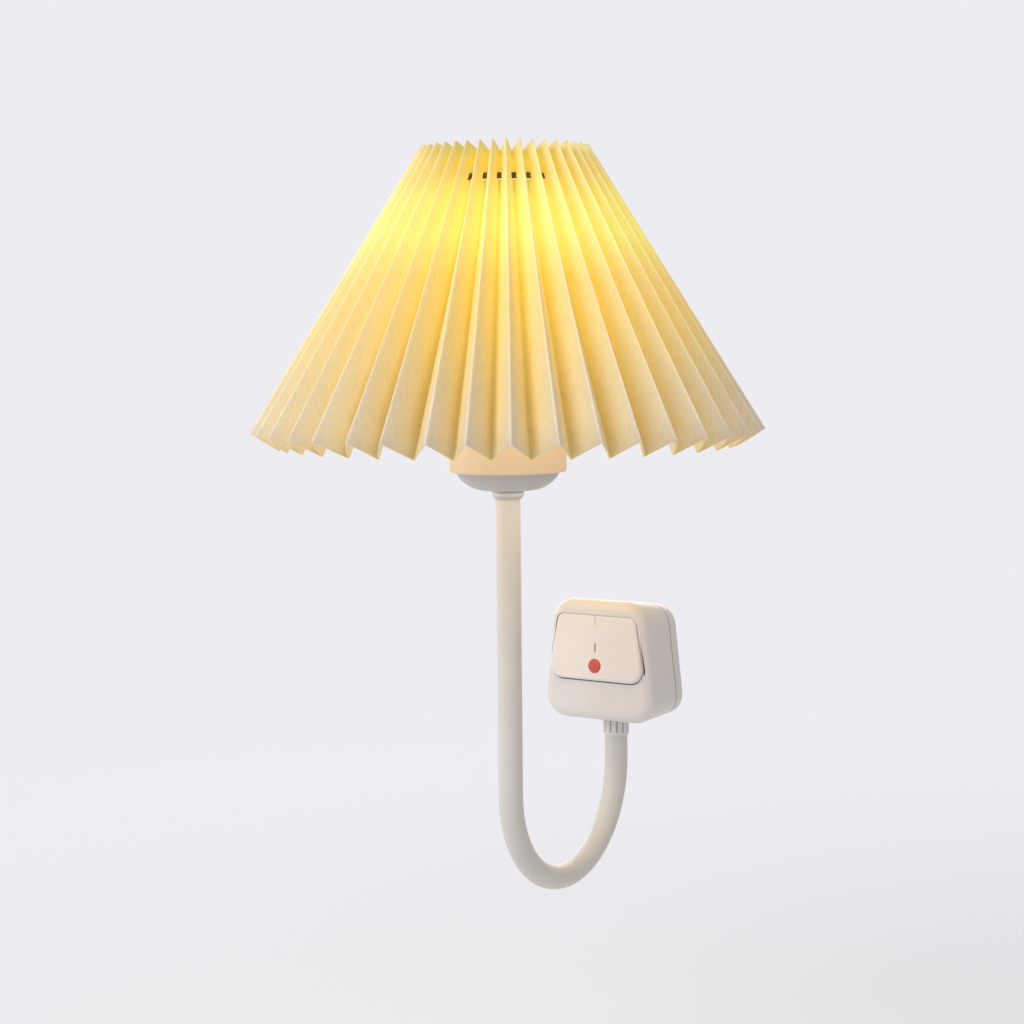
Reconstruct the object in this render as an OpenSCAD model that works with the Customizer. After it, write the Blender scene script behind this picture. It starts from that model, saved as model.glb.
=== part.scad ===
// Plug-in wall light: a plug with a rocker switch carries a bendable neck, a lampholder and a pleated shade.
// The origin is the middle of the blades on the plug's back face. +Y points along the blades, +Z up.
// Sizes are in millimetres.

/* [Plug] */
// Width of the plug across its lower corners
plug_w = 53.6; // [46:0.2:64]
// Width of the plug across its upper corners
plug_top_w = 46.4; // [42:0.2:60]
// Height of the front face's upper edge above the origin
plug_top = 25.2; // [24:0.2:31]
// Depth of the plug's underside below the origin
plug_low = 27.5; // [26:0.5:33]
// How far the plug's top falls from the front face to the back
plug_fall = 4.5; // [0:0.5:5]
// How far each side draws in from the front face to the back
plug_draw = 2; // [0:0.2:3]
// Depth of the plug from its back face to its front face
plug_d = 34; // [32:1:44]
// Radius of the plug's corners, seen from the front
plug_corner_r = 10; // [9:0.5:12]
// Radius of the rounded edge of the front face
plug_edge_r = 4.5; // [2:0.5:6]
// Wall of the housing and of the cover's sides
plug_wall = 2; // [1.6:0.1:2.4]
// Depth of the back cover
cover_d = 8; // [7:0.5:9]
// Thickness of the cover's back wall
cover_back = 2.5; // [2:0.1:3]
// Radius of the rounded edge of the back face
cover_edge_r = 2; // [1:0.5:3]
// Diameter of the screw bosses in the corners
boss_d = 7; // [6.4:0.2:8]
// Thread diameter of the cover screws
cover_screw_d = 2.6; // [2:0.1:3]

/* [Switch] */
// Space between the rocker's lower corners and the plug's sides
rocker_side_margin = 4.1; // [3.5:0.1:6]
// Space between the rocker's upper corners and the plug's sides
rocker_top_margin = 3.5; // [3:0.5:7]
// Height of the rocker
rocker_h = 28.5; // [24:0.5:30]
// Distance from the plug's top to the rocker's upper edge
rocker_drop = 6.5; // [6:0.25:9]
// Radius of the rocker's lower corners
rocker_corner_r = 6; // [4:0.5:8]
// Radius of the rocker's upper corners
rocker_top_r = 3.5; // [2.5:0.5:8]
// Radius of the rounded edge of the rocker's face
rocker_edge_r = 1.2; // [0.6:0.2:2]
// Thickness of the rocker's cap
rocker_t = 3.4; // [3:0.2:4]
// How far the level rocker stands out of the front face
rocker_proud = 1; // [0.5:0.1:2]
// Gap round the rocker
rocker_gap = 0.9; // [0.7:0.1:1.4]
// Angle that the rocker leans each way
rocker_lean = 4; // [2:0.5:5]
// Angle that the see-saw contact leans each way
seesaw_lean = 6; // [3:0.5:8]
// Depth of the rocker's pivot behind the front face
pivot_depth = 6; // [5.6:0.2:7]
// Diameter of the rocker's pivot pins
pivot_d = 3; // [2:0.2:4]
// Distance between the rocker's cheeks
cheek_span = 21.8; // [18:0.2:24]
// Diameter of the indicator lens
lens_d = 5.8; // [4:0.2:6.6]
// Distance of the indicator below the rocker's pivot
lens_drop = 8; // [7:0.5:9]
// Distance from the back face to the back of the switch base
base_depth = 12; // [11.5:0.5:13]

/* [Blades] */
// Width of a blade
blade_w = 6.4; // [5:0.1:7]
// Thickness of a blade
blade_t = 1.5; // [1.2:0.1:2]
// Length of the line and neutral blades beyond the back face
blade_len = 18; // [14:0.5:22]
// Length of the earth blade beyond the back face
earth_len = 21; // [16:0.5:25]
// Distance of the line and neutral blades from the middle
blade_r = 7.92; // [7.4:0.02:9]
// Distance of the earth blade from the middle
earth_r = 10.31; // [9.8:0.01:12]

/* [Neck] */
// Distance from the back face to the neck's lower end
outlet_y = 17; // [15:0.5:20]
// Diameter of the ribbed outlet nut
nut_d = 11.4; // [11.2:0.1:14]
// Height of the ribbed outlet nut
nut_h = 8.5; // [5:0.5:10]
// Number of grooves round the outlet nut
nut_grooves = 12; // [8:1:16]
// Diameter of the neck's sleeve
hose_d = 10; // [9.4:0.1:10.6]
// Diameter of the steel core
core_d = 6.8; // [6:0.1:7.4]
// Bore of the steel core
core_bore = 5.2; // [4.8:0.1:5.6]
// Diameter of a lamp wire
wire_d = 2; // [1.4:0.1:2.2]
// Straight length below the outlet nut
hose_drop = 10.5; // [10:0.5:30]
// Radius of the neck's U bend
bend_r = 43; // [36:1:60]
// Straight length from the end of the bend up to the collar
leg_h = 121.5; // [110:0.5:200]
// Distance of the lower swing joint below the outlet nut
swing_low_drop = 5.5; // [5:0.5:6.5]
// Height of the upper swing joint above the end of the bend
swing_high_rise = 46.5; // [30:0.5:60]
// Height of the head's tilt joint above the end of the bend
tilt_rise = 92; // [76:0.5:100]
// Largest angle that one joint of the neck bends
neck_turn = 30; // [20:1:36]

/* [Lampholder] */
// Diameter of the stepped collar
collar_d = 12.8; // [11.6:0.2:16]
// Height of the stepped collar
collar_h = 3.6; // [3:0.1:6]
// Diameter of the dish at its rim
dish_d = 41.6; // [36:0.2:46]
// Diameter of the dish at its base
dish_base_d = 22; // [18:0.5:30]
// Height of the dish
dish_h = 7.4; // [5:0.2:12]
// Wall of the dish
dish_wall = 1.5; // [1:0.1:2]
// Diameter of the lampholder shell
holder_d = 47.4; // [45:0.2:54]
// Height of the lampholder shell up to its shoulder
holder_h = 38; // [34:0.5:46]
// Wall of the lampholder shell
holder_wall = 2; // [1.6:0.1:2.4]
// Diameter of the threaded neck over the shoulder
thread_d = 40; // [39:0.2:41]
// Height of the threaded neck
thread_h = 12; // [11:0.5:16]
// Diameter of the shade ring nut
ring_nut_d = 51; // [47:0.5:56]
// Height of the shade ring nut
ring_nut_h = 5; // [4:0.5:7]

/* [Bulb] */
// Largest diameter of the bulb
bulb_d = 50; // [44:1:54]
// Diameter of the bulb's screw cap
cap_d = 26.1; // [25:0.1:27]
// Height of the bulb's screw cap
cap_h = 24; // [22:0.5:26]
// Height of the bulb's body over the lampholder
body_h = 26; // [20:0.5:30]
// Height of the frosted dome
dome_h = 33; // [26:0.5:36]
// Wall of the dome and the body
bulb_wall = 1.4; // [1:0.1:2]

/* [Shade] */
// Diameter of the shade over its outer folds at the bottom
shade_d = 205.6; // [180:0.2:240]
// Diameter of the shade over its outer folds at the top
shade_top_d = 66.2; // [64:0.2:90]
// Height of the shade along its outer folds
shade_h = 112; // [108:0.5:130]
// Number of pleats
pleats = 40; // [24:1:48]
// Angle of the first outer fold from the X axis
fold_start = 7; // [0:0.5:9]
// Depth of the pleats at the bottom
pleat_depth = 12.4; // [8:0.2:16]
// Depth of the pleats at the top
pleat_top_depth = 8.6; // [6:0.2:9]
// Thickness of the shade's sheet
sheet_t = 0.6; // [0.4:0.05:0.8]
// Height of the shade's lower edge over the bottom of the lampholder
shade_rise = 17; // [12:0.5:22]
// Distance of the carrier ring below the top of the shade
ring_drop = 13.7; // [12:0.1:16]
// Wire diameter of the carrier's ring
ring_wire_d = 2.4; // [1.8:0.1:3]
// Wire diameter of the carrier's legs
leg_wire_d = 2; // [1.5:0.1:2.4]
// Height of the notches that hold the ring
notch_h = 3; // [2.4:0.1:4]
// Depth of the notches in the inner folds
notch_depth = 5; // [3.5:0.1:6]

/* [Hidden] */
$fn = 64;
// Overshoot of cuts, so that they break through the face they open
cut = 1;
// Gap between pieces that slide into each other
slip = 0.1;
// Gap between pieces that stay clear of each other
clear = 0.3;
// Running clearance of a pin in its bore
run = 0.05;
// Steps of a rounded corner and of a rounded edge
corner_steps = 6;
edge_steps = 4;
// Steps of a curved outline that is turned
curve_steps = 12;

// Places of the plug's pieces
front_y = -plug_d;
front_inner_y = front_y + plug_wall;
opening_depth = 3;
seam_y = -cover_d;
back_inner_y = -cover_back;
rim_band = 0.5;
corner_bottom = [plug_w / 2 - draw_in(seam_y) - plug_corner_r, plug_corner_r - plug_low];
corner_top = [plug_top_w / 2 - draw_in(seam_y) - plug_corner_r, plug_top - top_fall(seam_y) - plug_corner_r];
boss_r = boss_d / 2;
// How far a boss sits out from its corner's centre, so that it runs into the wall
boss_out = plug_corner_r - plug_wall - boss_r + 0.45;
boss_bottom = corner_bottom + boss_out * [cos(-45), sin(-45)];
boss_top = corner_top + boss_out * [cos(40), sin(40)];
boss_places = [boss_bottom, boss_top, [-boss_top.x, boss_top.y], [-boss_bottom.x, boss_bottom.y]];
screw_head_d = 2 * cover_screw_d;
screw_head_h = 1.8;
screw_seat = 1.2;
screw_len = 10;

// Places of the switch
rocker_w = plug_w - 2 * rocker_side_margin;
rocker_top_w = plug_top_w - 2 * rocker_top_margin;
rocker_z = plug_top - rocker_drop - rocker_h / 2;
pivot_y = front_y + pivot_depth;
rocker_front = front_y - rocker_proud - pivot_y;
rocker_back = rocker_front + rocker_t;
cheek_t = 2.4;
cheek_x = cheek_span / 2;
ear_gap = 0.7;
ear_t = 2.6;
ear_x = cheek_x + cheek_t + ear_gap;
ear_r = pivot_d / 2 + 1.3;
base_t = 2;
base_back_y = -base_depth;
base_front_y = base_back_y - base_t;
post_r = 2.2;
// Half the width of the front face at the rocker's pivot
pivot_share = (rocker_z + plug_low - plug_corner_r) / (plug_top + plug_low - 2 * plug_corner_r);
side_x = plug_w / 2 + pivot_share * (plug_top_w - plug_w) / 2;
ledge_x = side_x - draw_in(base_front_y) - plug_wall - 2.4;
ledge_h = 2.5;
ledge_len = 8;
post_low_z = rocker_z - rocker_h / 2 - rocker_gap - post_r - 2;
post_low_x = rocker_w / 2 - 7.5;
switch_screw_d = 2;
switch_screw_len = 5;
switch_head_h = 1.4;
knife_r = 0.8;
knife_y = base_front_y - 2;
seesaw_t = 0.8;
seesaw_h = 14;
seesaw_w = 5;
seesaw_y = knife_y - 0.2;
touch_drop = 5.4;
touch_r = 1.2;
touch_t = 0.6;
touch_gap = 0.2;
plunger_d = 3;
plunger_reach = seesaw_y - seesaw_t - 0.2 - pivot_y;
plunger_back = 2.5;
plunger_boss_d = 6.4;
plunger_boss_reach = 6;
spring_back = -1;
tail_w = 2;
tail_t = 0.8;
tail_len = 2.5;
led_d = 3;
led_h = 4.5;
led_lead_d = 0.6;
led_pitch = 2.54;
lens_back = rocker_back + 0.6;

// Places of the blades
blade_lean = 30;
blade_places = [[blade_r * cos(30), -blade_r / 2, -blade_lean], [-blade_r * cos(30), -blade_r / 2, blade_lean]];
blade_in = 9;
carrier_t = 4;
carrier_w = 2 * (blade_r + blade_w / 2 + 1.5);
carrier_low = -blade_r / 2 - blade_w / 2 - 2;
carrier_high = earth_r + blade_w / 2 + 2;
carrier_step = -blade_r / 2 + blade_w / 2 + 2;
carrier_top_w = 12;
carrier_y = back_inner_y - carrier_t;

// Places along the neck
hose_r = hose_d / 2;
core_r = core_d / 2;
bore_r = core_r + slip;
ball_step = 0.5;
ball_r = hose_r - ball_step;
nut_top_z = -plug_low;
nut_z = nut_top_z - nut_h;
bend_z = nut_z - hose_drop;
bend_y = -outlet_y - bend_r;
lamp_y = -outlet_y - 2 * bend_r;
collar_z = bend_z + leg_h;
tuck = 2;
swing_low_z = nut_z - swing_low_drop;
swing_high_z = bend_z + swing_high_rise;
tilt_z = bend_z + tilt_rise;
bend_joints = [45, 90, 135];
joint_clear = 0.35;
// Length from a joint's centre to the sleeves' ends, which clear each other at the full bend
joint_gap = hose_r * tan(neck_turn / 2) + joint_clear;
joint_step = joint_gap / bend_r * 180 / PI;
ferrule_r = core_r + slip + 1.3;
locknut_r = 7.5;
locknut_h = 2.8;
locknut_z = nut_top_z + plug_wall;
ferrule_low_top = locknut_z + locknut_h + 1;
wire_x = wire_d / 2 + 0.2;
wire_joint = 0.06;

// Places of the lampholder and the bulb
dish_z = collar_z + collar_h;
holder_z = dish_z + dish_h;
holder_floor = 3;
floor_z = holder_z + holder_floor;
shoulder_z = holder_z + holder_h;
thread_top_z = shoulder_z + thread_h;
ferrule_top = floor_z + locknut_h + 0.6;
insert_r = thread_d / 2 - holder_wall - 2 * slip;
insert_z = floor_z + 9;
insert_disc = 6;
insert_top_z = insert_z + insert_disc;
insert_foot_r = 2.4;
shell_r = cap_d / 2 + 0.3;
shell_wall = 0.8;
contact_r = 3.4;
contact_h = 1.2;
terminal_x = 6;
terminal_h = 3;
tip_z = insert_top_z + contact_h + 0.15;
tip_h = 2.4;
cap_z = tip_z + tip_h;
cap_top_z = cap_z + cap_h;
cap_wall = 0.6;
body_neck_r = cap_d / 2 + 0.6;
body_top_z = thread_top_z + body_h;
dome_top_z = body_top_z + dome_h;
board_t = 1.6;
board_r = bulb_d / 2 - bulb_wall - 1;

// Places of the shade and its carrier
shade_z = holder_z + shade_rise;
shade_top_z = shade_z + shade_h;
shade_slope = atan2((shade_d - shade_top_d) / 2, shade_h);
shade_out = [cos(shade_slope), sin(shade_slope)];
fold_step = 180 / pleats;
sheet_rows = 3;
outer_low = [shade_d / 2, shade_z];
outer_high = [shade_top_d / 2, shade_top_z];
inner_low = outer_low - pleat_depth * shade_out;
inner_high = outer_high - pleat_top_depth * shade_out;
ring_z = shade_top_z - ring_drop;
inner_slope = (inner_low.x - inner_high.x) / (inner_high.y - inner_low.y);
inner_at_ring = inner_high.x + (inner_high.y - ring_z) * inner_slope;
ring_r = inner_at_ring + 0.4 + ring_wire_d / 2;
gallery_t = 1.5;
gallery_z = shoulder_z;
leg_low = [ring_nut_d / 2 + leg_wire_d / 2 + clear, gallery_z + gallery_t / 2];
gallery_r = leg_low.x + leg_wire_d / 2 + 0.2;
leg_high = [ring_r, ring_z];
legs = 3;

// Points of an arc about c from angle a to angle b
function arc_points(c, r, a, b) =
    let (step = (b - a) / corner_steps)
    [for (i = [0:corner_steps]) c + r * [cos(a + step * i), sin(a + step * i)]];

// Outline of a plate from height z0 up to z1 with round corners, narrower at the top, drawn in by inset
function plate_outline(low_w, top_w, z0, z1, low_r, top_r, inset) =
    let (low = [low_w / 2 - low_r, z0 + low_r])
    let (top = [top_w / 2 - top_r, z1 - top_r])
    let (lean = atan2(top.y - low.y, top.x - low.x) - acos((low_r - top_r) / norm(top - low)))
    concat(
        arc_points(low, low_r - inset, -90, lean),
        arc_points(top, top_r - inset, lean, 90),
        arc_points([-top.x, top.y], top_r - inset, 90, 180 - lean),
        arc_points([-low.x, low.y], low_r - inset, 180 - lean, 270)
    );

// Share of the way from the front edge to the back face at depth y
function depth_share(y) = max(0, min(1, (y - front_y - plug_edge_r) / (plug_d - plug_edge_r)));

// How far the plug's sides have drawn in at depth y
function draw_in(y) = plug_draw * depth_share(y);

// How far the plug's top has fallen at depth y
function top_fall(y) = plug_fall * depth_share(y);

// Plug's outline at depth y, drawn in by inset
function plug_outline(inset, y) =
    plate_outline(
        plug_w - 2 * draw_in(y),
        plug_top_w - 2 * draw_in(y),
        -plug_low,
        plug_top - top_fall(y),
        plug_corner_r,
        plug_corner_r,
        inset
    );

// Outline of the rocker drawn in by inset
function rocker_outline(inset) =
    plate_outline(rocker_w, rocker_top_w, -rocker_h / 2, rocker_h / 2, rocker_corner_r, rocker_top_r, inset);

// Upright outline made into a plate from y_back forward to y_front
module upright(points, y_back, y_front) {
    translate([0, y_back, 0])
        rotate([90, 0, 0])
            linear_extrude(y_back - y_front)
                polygon(points);
}

// Cylinder along the Y axis
module bar_y(r, y0, y1) {
    translate([0, y1, 0])
        rotate([90, 0, 0])
            cylinder(r = r, h = y1 - y0);
}

// Cylinder along the X axis
module bar_x(r, x0, x1) {
    translate([x0, 0, 0])
        rotate([0, 90, 0])
            cylinder(r = r, h = x1 - x0);
}

// Ring about the Z axis
module ring(r_out, r_in, z0, z1) {
    difference() {
        translate([0, 0, z0])
            cylinder(r = r_out, h = z1 - z0);
        translate([0, 0, z0 - cut])
            cylinder(r = r_in, h = z1 - z0 + 2 * cut);
    }
}

// Box between two corners
module block(low, high) {
    translate(low)
        cube(high - low);
}

// Round wire from point to point, with slightly thicker round joints
module wire(points, r) {
    for (i = [0:len(points) - 2]) {
        d = points[i + 1] - points[i];
        translate(points[i])
            rotate([0, acos(d.z / norm(d)), atan2(d.y, d.x)])
                cylinder(r = r, h = norm(d));
    }
    if (len(points) > 2)
        for (i = [1:len(points) - 2])
            translate(points[i])
                sphere(r + wire_joint);
}

// Copies of a piece at the screw bosses
module at_bosses() {
    for (p = boss_places)
        translate([p.x, 0, p.y])
            children();
}

// Copies of a piece at the posts that carry the switch base
module at_posts() {
    for (side = [-1, 1])
        translate([side * post_low_x, 0, post_low_z])
            children();
}

// Pieces on the rocker, leaning into its upper edge
module on_rocker() {
    translate([0, pivot_y, rocker_z])
        rotate([-rocker_lean, 0, 0])
            children();
}

// Plug body with a rounded front edge
module plug_front(inset, y_back, y_front, edge) {
    rim_y = y_front + edge + rim_band;
    hull() {
        upright(plug_outline(inset, y_back), y_back, y_back - rim_band);
        for (i = [0:edge_steps])
            upright(
                plug_outline(inset + edge * (1 - sin(90 * i / edge_steps)), rim_y),
                rim_y,
                y_front + edge * (1 - cos(90 * i / edge_steps))
            );
    }
}

// Plug body with a rounded back edge
module plug_rear(inset, y_back, y_front, edge) {
    rim_y = y_back - edge - rim_band;
    hull() {
        upright(plug_outline(inset, y_front), y_front + rim_band, y_front);
        for (i = [0:edge_steps])
            upright(
                plug_outline(inset + edge * (1 - sin(90 * i / edge_steps)), rim_y),
                y_back - edge * (1 - cos(90 * i / edge_steps)),
                rim_y
            );
    }
}

// Front shell with the rocker's opening, screw bosses, and posts and ledges for the switch base
module front_housing() {
    boss_short = front_inner_y + rocker_t + 1.6;
    color("WhiteSmoke")
        difference() {
            union() {
                difference() {
                    plug_front(0, seam_y, front_y, plug_edge_r);
                    plug_front(plug_wall, seam_y + cut, front_inner_y, max(plug_edge_r - plug_wall, 0.5));
                }
                for (p = boss_places)
                    translate([p.x, 0, p.y])
                        bar_y(boss_r, p.y > 0 ? boss_short : front_inner_y - 0.5, seam_y);
                at_posts()
                    bar_y(post_r, front_inner_y - 0.5, base_front_y);
                for (side = [0, 1])
                    mirror([side, 0, 0])
                        block(
                            [ledge_x, base_front_y - ledge_len, rocker_z - ledge_h],
                            [ledge_x + 2.4 + plug_wall / 2, base_front_y, rocker_z + ledge_h]
                        );
            }
            translate([0, 0, rocker_z])
                upright(rocker_outline(-rocker_gap), front_inner_y + opening_depth, front_y - cut);
            at_bosses()
                bar_y(cover_screw_d / 2 + slip, seam_y - screw_len, seam_y + cut);
            at_posts()
                bar_y(switch_screw_d / 2 + slip, base_front_y - switch_screw_len - cut, base_front_y + cut);
            translate([0, -outlet_y, nut_top_z - cut])
                cylinder(r = ferrule_r + slip, h = plug_wall + 2 * cut);
        }
}

// Blade-shaped solid along the Y axis, turned by lean
module blade_bar(place, y0, y1, grow) {
    translate([place.x, 0, place.y])
        rotate([0, place.z, 0])
            block([-blade_t / 2 - grow, y0, -blade_w / 2 - grow], [blade_t / 2 + grow, y1, blade_w / 2 + grow]);
}

// Slots for the three blades
module blade_slots(y0, y1) {
    for (p = blade_places)
        blade_bar(p, y0, y1, slip);
    blade_bar([0, earth_r, 0], y0, y1, slip);
}

// Back cover with blade slots and counterbored screw holes
module back_cover() {
    color("White")
        difference() {
            union() {
                difference() {
                    plug_rear(0, 0, seam_y, cover_edge_r);
                    plug_rear(plug_wall, back_inner_y, seam_y - cut, 0.5);
                }
                at_bosses()
                    bar_y(boss_r, seam_y, back_inner_y + 0.5);
            }
            blade_slots(back_inner_y - cut, cut);
            at_bosses() {
                bar_y(cover_screw_d / 2 + 2 * slip, seam_y - cut, cut);
                bar_y(screw_head_d / 2 + 2 * slip, -screw_seat - screw_head_h, cut);
            }
        }
}

module live_blade() {
    color("Goldenrod")
        blade_bar(blade_places[0], -blade_in, blade_len, 0);
}

module neutral_blade() {
    color("Goldenrod")
        blade_bar(blade_places[1], -blade_in, blade_len, 0);
}

module earth_blade() {
    color("Goldenrod")
        blade_bar([0, earth_r, 0], -blade_in, earth_len, 0);
}

// Insulating plate that holds the blades against the cover's back wall
module blade_carrier() {
    color("DimGray")
        difference() {
            union() {
                block([-carrier_w / 2, carrier_y, carrier_low], [carrier_w / 2, back_inner_y, carrier_step]);
                block(
                    [-carrier_top_w / 2, carrier_y, carrier_low],
                    [carrier_top_w / 2, back_inner_y, carrier_high]
                );
            }
            blade_slots(carrier_y - cut, back_inner_y + cut);
        }
}

// Screws that hold the cover on the housing
module cover_screws() {
    color("Silver")
        at_bosses()
            difference() {
                union() {
                    bar_y(screw_head_d / 2, -screw_seat - screw_head_h, -screw_seat);
                    bar_y(cover_screw_d / 2, seam_y - screw_len + 1, -screw_seat - screw_head_h);
                }
                block([-screw_head_d * 0.35, -screw_seat - 0.7, -0.35], [screw_head_d * 0.35, 0, 0.35]);
                block([-0.35, -screw_seat - 0.7, -screw_head_d * 0.35], [0.35, 0, screw_head_d * 0.35]);
            }
}

// Tab of a contact through the switch base, at height z
module tail(z, grow) {
    block(
        [-tail_w / 2 - grow, base_front_y - 0.5, z - tail_t / 2 - grow],
        [tail_w / 2 + grow, base_back_y + tail_len + grow, z + tail_t / 2 + grow]
    );
}

// Plate with the two ears that carry the rocker's pivot pins
module switch_base() {
    touch_z = rocker_z - touch_drop;
    color("Gainsboro")
        difference() {
            union() {
                intersection() {
                    union() {
                        at_posts()
                            bar_y(post_r + 0.6, base_front_y, base_back_y);
                        block(
                            [-ear_x - ear_t, base_front_y, post_low_z],
                            [ear_x + ear_t, base_back_y, rocker_z + ear_r + 2]
                        );
                        block(
                            [-side_x, base_front_y, rocker_z - ledge_h],
                            [side_x, base_back_y, rocker_z + ledge_h]
                        );
                    }
                    upright(
                        plug_outline(plug_wall + clear, base_back_y),
                        base_back_y + cut,
                        base_front_y - cut
                    );
                }
                for (side = [-1, 1])
                    translate([side * (ear_x + ear_t / 2), 0, rocker_z]) {
                        block([-ear_t / 2, pivot_y, -ear_r], [ear_t / 2, base_front_y + 0.5, ear_r]);
                        translate([0, pivot_y, 0])
                            bar_x(ear_r, -ear_t / 2, ear_t / 2);
                    }
            }
            translate([0, pivot_y, rocker_z])
                bar_x(pivot_d / 2 + run, -plug_w / 2, plug_w / 2);
            at_posts()
                bar_y(switch_screw_d / 2 + 2 * slip, base_front_y - cut, base_back_y + cut);
            tail(rocker_z, slip);
            tail(touch_z, slip);
            for (side = [-1, 1])
                translate([side * led_pitch / 2, 0, rocker_z - lens_drop])
                    bar_y(led_lead_d / 2 + slip, base_front_y - cut, base_back_y + cut);
        }
}

// Screws that hold the switch base on its posts
module switch_screws() {
    color("Silver")
        at_posts() {
            bar_y(switch_screw_d / 2, base_front_y - switch_screw_len, base_back_y);
            bar_y(switch_screw_d, base_back_y, base_back_y + switch_head_h);
        }
}

// Rocker cap with pivot pins, plunger tube and an on mark
module rocker() {
    mark_w = 0.8;
    mark_h = 3.8;
    mark_cut = 0.4;
    notch_w = 1.8;
    notch_len = 5;
    color("White")
        on_rocker()
            difference() {
                union() {
                    hull()
                        for (i = [0:edge_steps])
                            upright(
                                rocker_outline(rocker_edge_r * (1 - sin(90 * i / edge_steps))),
                                rocker_back,
                                rocker_front + rocker_edge_r * (1 - cos(90 * i / edge_steps))
                            );
                    for (side = [-1, 1])
                        translate([side * (cheek_x + cheek_t / 2), 0, 0]) {
                            block([-cheek_t / 2, rocker_back - 0.5, -ear_r], [cheek_t / 2, 0, ear_r]);
                            bar_x(ear_r, -cheek_t / 2, cheek_t / 2);
                        }
                    bar_x(pivot_d / 2, cheek_x, ear_x + ear_t);
                    bar_x(pivot_d / 2, -ear_x - ear_t, -cheek_x);
                    bar_y(plunger_boss_d / 2, rocker_back - 0.5, plunger_boss_reach);
                }
                bar_y(plunger_d / 2 + slip, spring_back, plunger_boss_reach + cut);
                translate([0, 0, -lens_drop])
                    bar_y(lens_d / 2 + slip, rocker_front - cut, rocker_back + cut);
                block(
                    [-mark_w / 2, rocker_front - cut, -mark_h / 2],
                    [mark_w / 2, rocker_front + mark_cut, mark_h / 2]
                );
                block(
                    [-notch_w / 2, rocker_front - cut, rocker_h / 2 - notch_len],
                    [notch_w / 2, rocker_front + mark_cut, rocker_h / 2 + cut]
                );
            }
}

// Red window of the indicator, domed in front and flanged behind the rocker's cap
module indicator_lens() {
    dome = 0.5;
    dome_r = (pow(lens_d / 2, 2) + dome * dome) / (2 * dome);
    color("Tomato")
        on_rocker()
            translate([0, 0, -lens_drop]) {
                bar_y(lens_d / 2, rocker_front, rocker_back);
                bar_y(lens_d / 2 + 0.8, rocker_back, lens_back);
                intersection() {
                    translate([0, rocker_front - dome + dome_r, 0])
                        sphere(dome_r);
                    bar_y(lens_d / 2, rocker_front - cut, rocker_front + 0.2);
                }
            }
}

// Indicator lamp on two leads
module indicator_led() {
    led_back = pivot_y + lens_back + 1.2 + led_h;
    color("LightCoral")
        translate([0, 0, rocker_z - lens_drop]) {
            bar_y(led_d / 2, led_back - led_h + led_d / 2, led_back);
            translate([0, led_back - led_h + led_d / 2, 0])
                sphere(led_d / 2);
            for (side = [-1, 1])
                translate([side * led_pitch / 2, 0, 0])
                    bar_y(led_lead_d / 2, led_back - 0.5, base_back_y + 0.5);
        }
}

// Sprung pin that throws the see-saw contact
module plunger() {
    color("Silver")
        on_rocker() {
            bar_y(plunger_d / 2, plunger_back, plunger_reach - plunger_d / 2);
            translate([0, plunger_reach - plunger_d / 2, 0])
                sphere(plunger_d / 2);
        }
}

// Spring behind the plunger
module plunger_spring() {
    color("Gray")
        on_rocker()
            difference() {
                bar_y(plunger_d / 2, spring_back, plunger_back);
                bar_y(plunger_d / 2 - 0.5, spring_back - cut, plunger_back + cut);
            }
}

// Contact strip that rocks on the pivot contact
module seesaw_contact() {
    color("Peru")
        translate([0, seesaw_y, rocker_z])
            rotate([seesaw_lean, 0, 0]) {
                block([-seesaw_w / 2, -seesaw_t, -seesaw_h / 2], [seesaw_w / 2, 0, seesaw_h / 2]);
                translate([0, 0, -touch_drop])
                    bar_y(touch_r, -0.2, touch_t);
            }
}

// Knife edge that carries the see-saw contact
module pivot_contact() {
    color("Peru") {
        translate([0, knife_y + knife_r, rocker_z])
            bar_x(knife_r, -seesaw_w / 2, seesaw_w / 2);
        block(
            [-seesaw_w / 2, knife_y + knife_r, rocker_z - knife_r],
            [seesaw_w / 2, base_front_y, rocker_z + knife_r]
        );
        tail(rocker_z, 0);
    }
}

// Contact under the see-saw's lower end
module fixed_contact() {
    touch_y = seesaw_y + touch_drop * sin(seesaw_lean) + touch_t * cos(seesaw_lean) + touch_gap;
    color("Peru") {
        translate([0, 0, rocker_z - touch_drop])
            bar_y(touch_r, touch_y, base_front_y);
        tail(rocker_z - touch_drop, 0);
    }
}

// Wire from the live blade to the pivot contact
module live_link() {
    r = wire_d / 2;
    color("Firebrick")
        wire(
            [
                [blade_places[0].x, -blade_in - r - slip, blade_places[0].y],
                [blade_places[0].x, -blade_in - r - slip, rocker_z],
                [tail_w / 2 + slip, base_back_y + tail_len - r, rocker_z]
            ],
            r
        );
}

// Ribbed nut under the plug
module outlet_nut() {
    groove_r = 0.6;
    rim = 1;
    color("Gainsboro")
        translate([0, -outlet_y, 0])
            difference() {
                ring(nut_d / 2, ferrule_r + slip, nut_z, nut_top_z);
                translate([0, 0, nut_z - cut])
                    cylinder(r = hose_r + slip, h = tuck + cut);
                for (i = [0:nut_grooves - 1])
                    rotate([0, 0, i * 360 / nut_grooves])
                        translate([nut_d / 2 + 0.2, 0, nut_z + rim])
                            cylinder(r = groove_r, h = nut_h - 2 * rim);
            }
}

// Threaded tube that fixes the neck in the plug
module lower_ferrule() {
    color("Silver")
        translate([0, -outlet_y, 0])
            ring(ferrule_r, bore_r, nut_z + tuck + slip, ferrule_low_top);
}

// Hexagon nut on a ferrule, standing on height z
module locknut(z) {
    difference() {
        translate([0, 0, z])
            cylinder(r = locknut_r, h = locknut_h, $fn = 6);
        translate([0, 0, z - cut])
            cylinder(r = ferrule_r + slip, h = locknut_h + 2 * cut);
    }
}

module lower_locknut() {
    color("Silver")
        translate([0, -outlet_y, 0])
            locknut(locknut_z);
}

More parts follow.
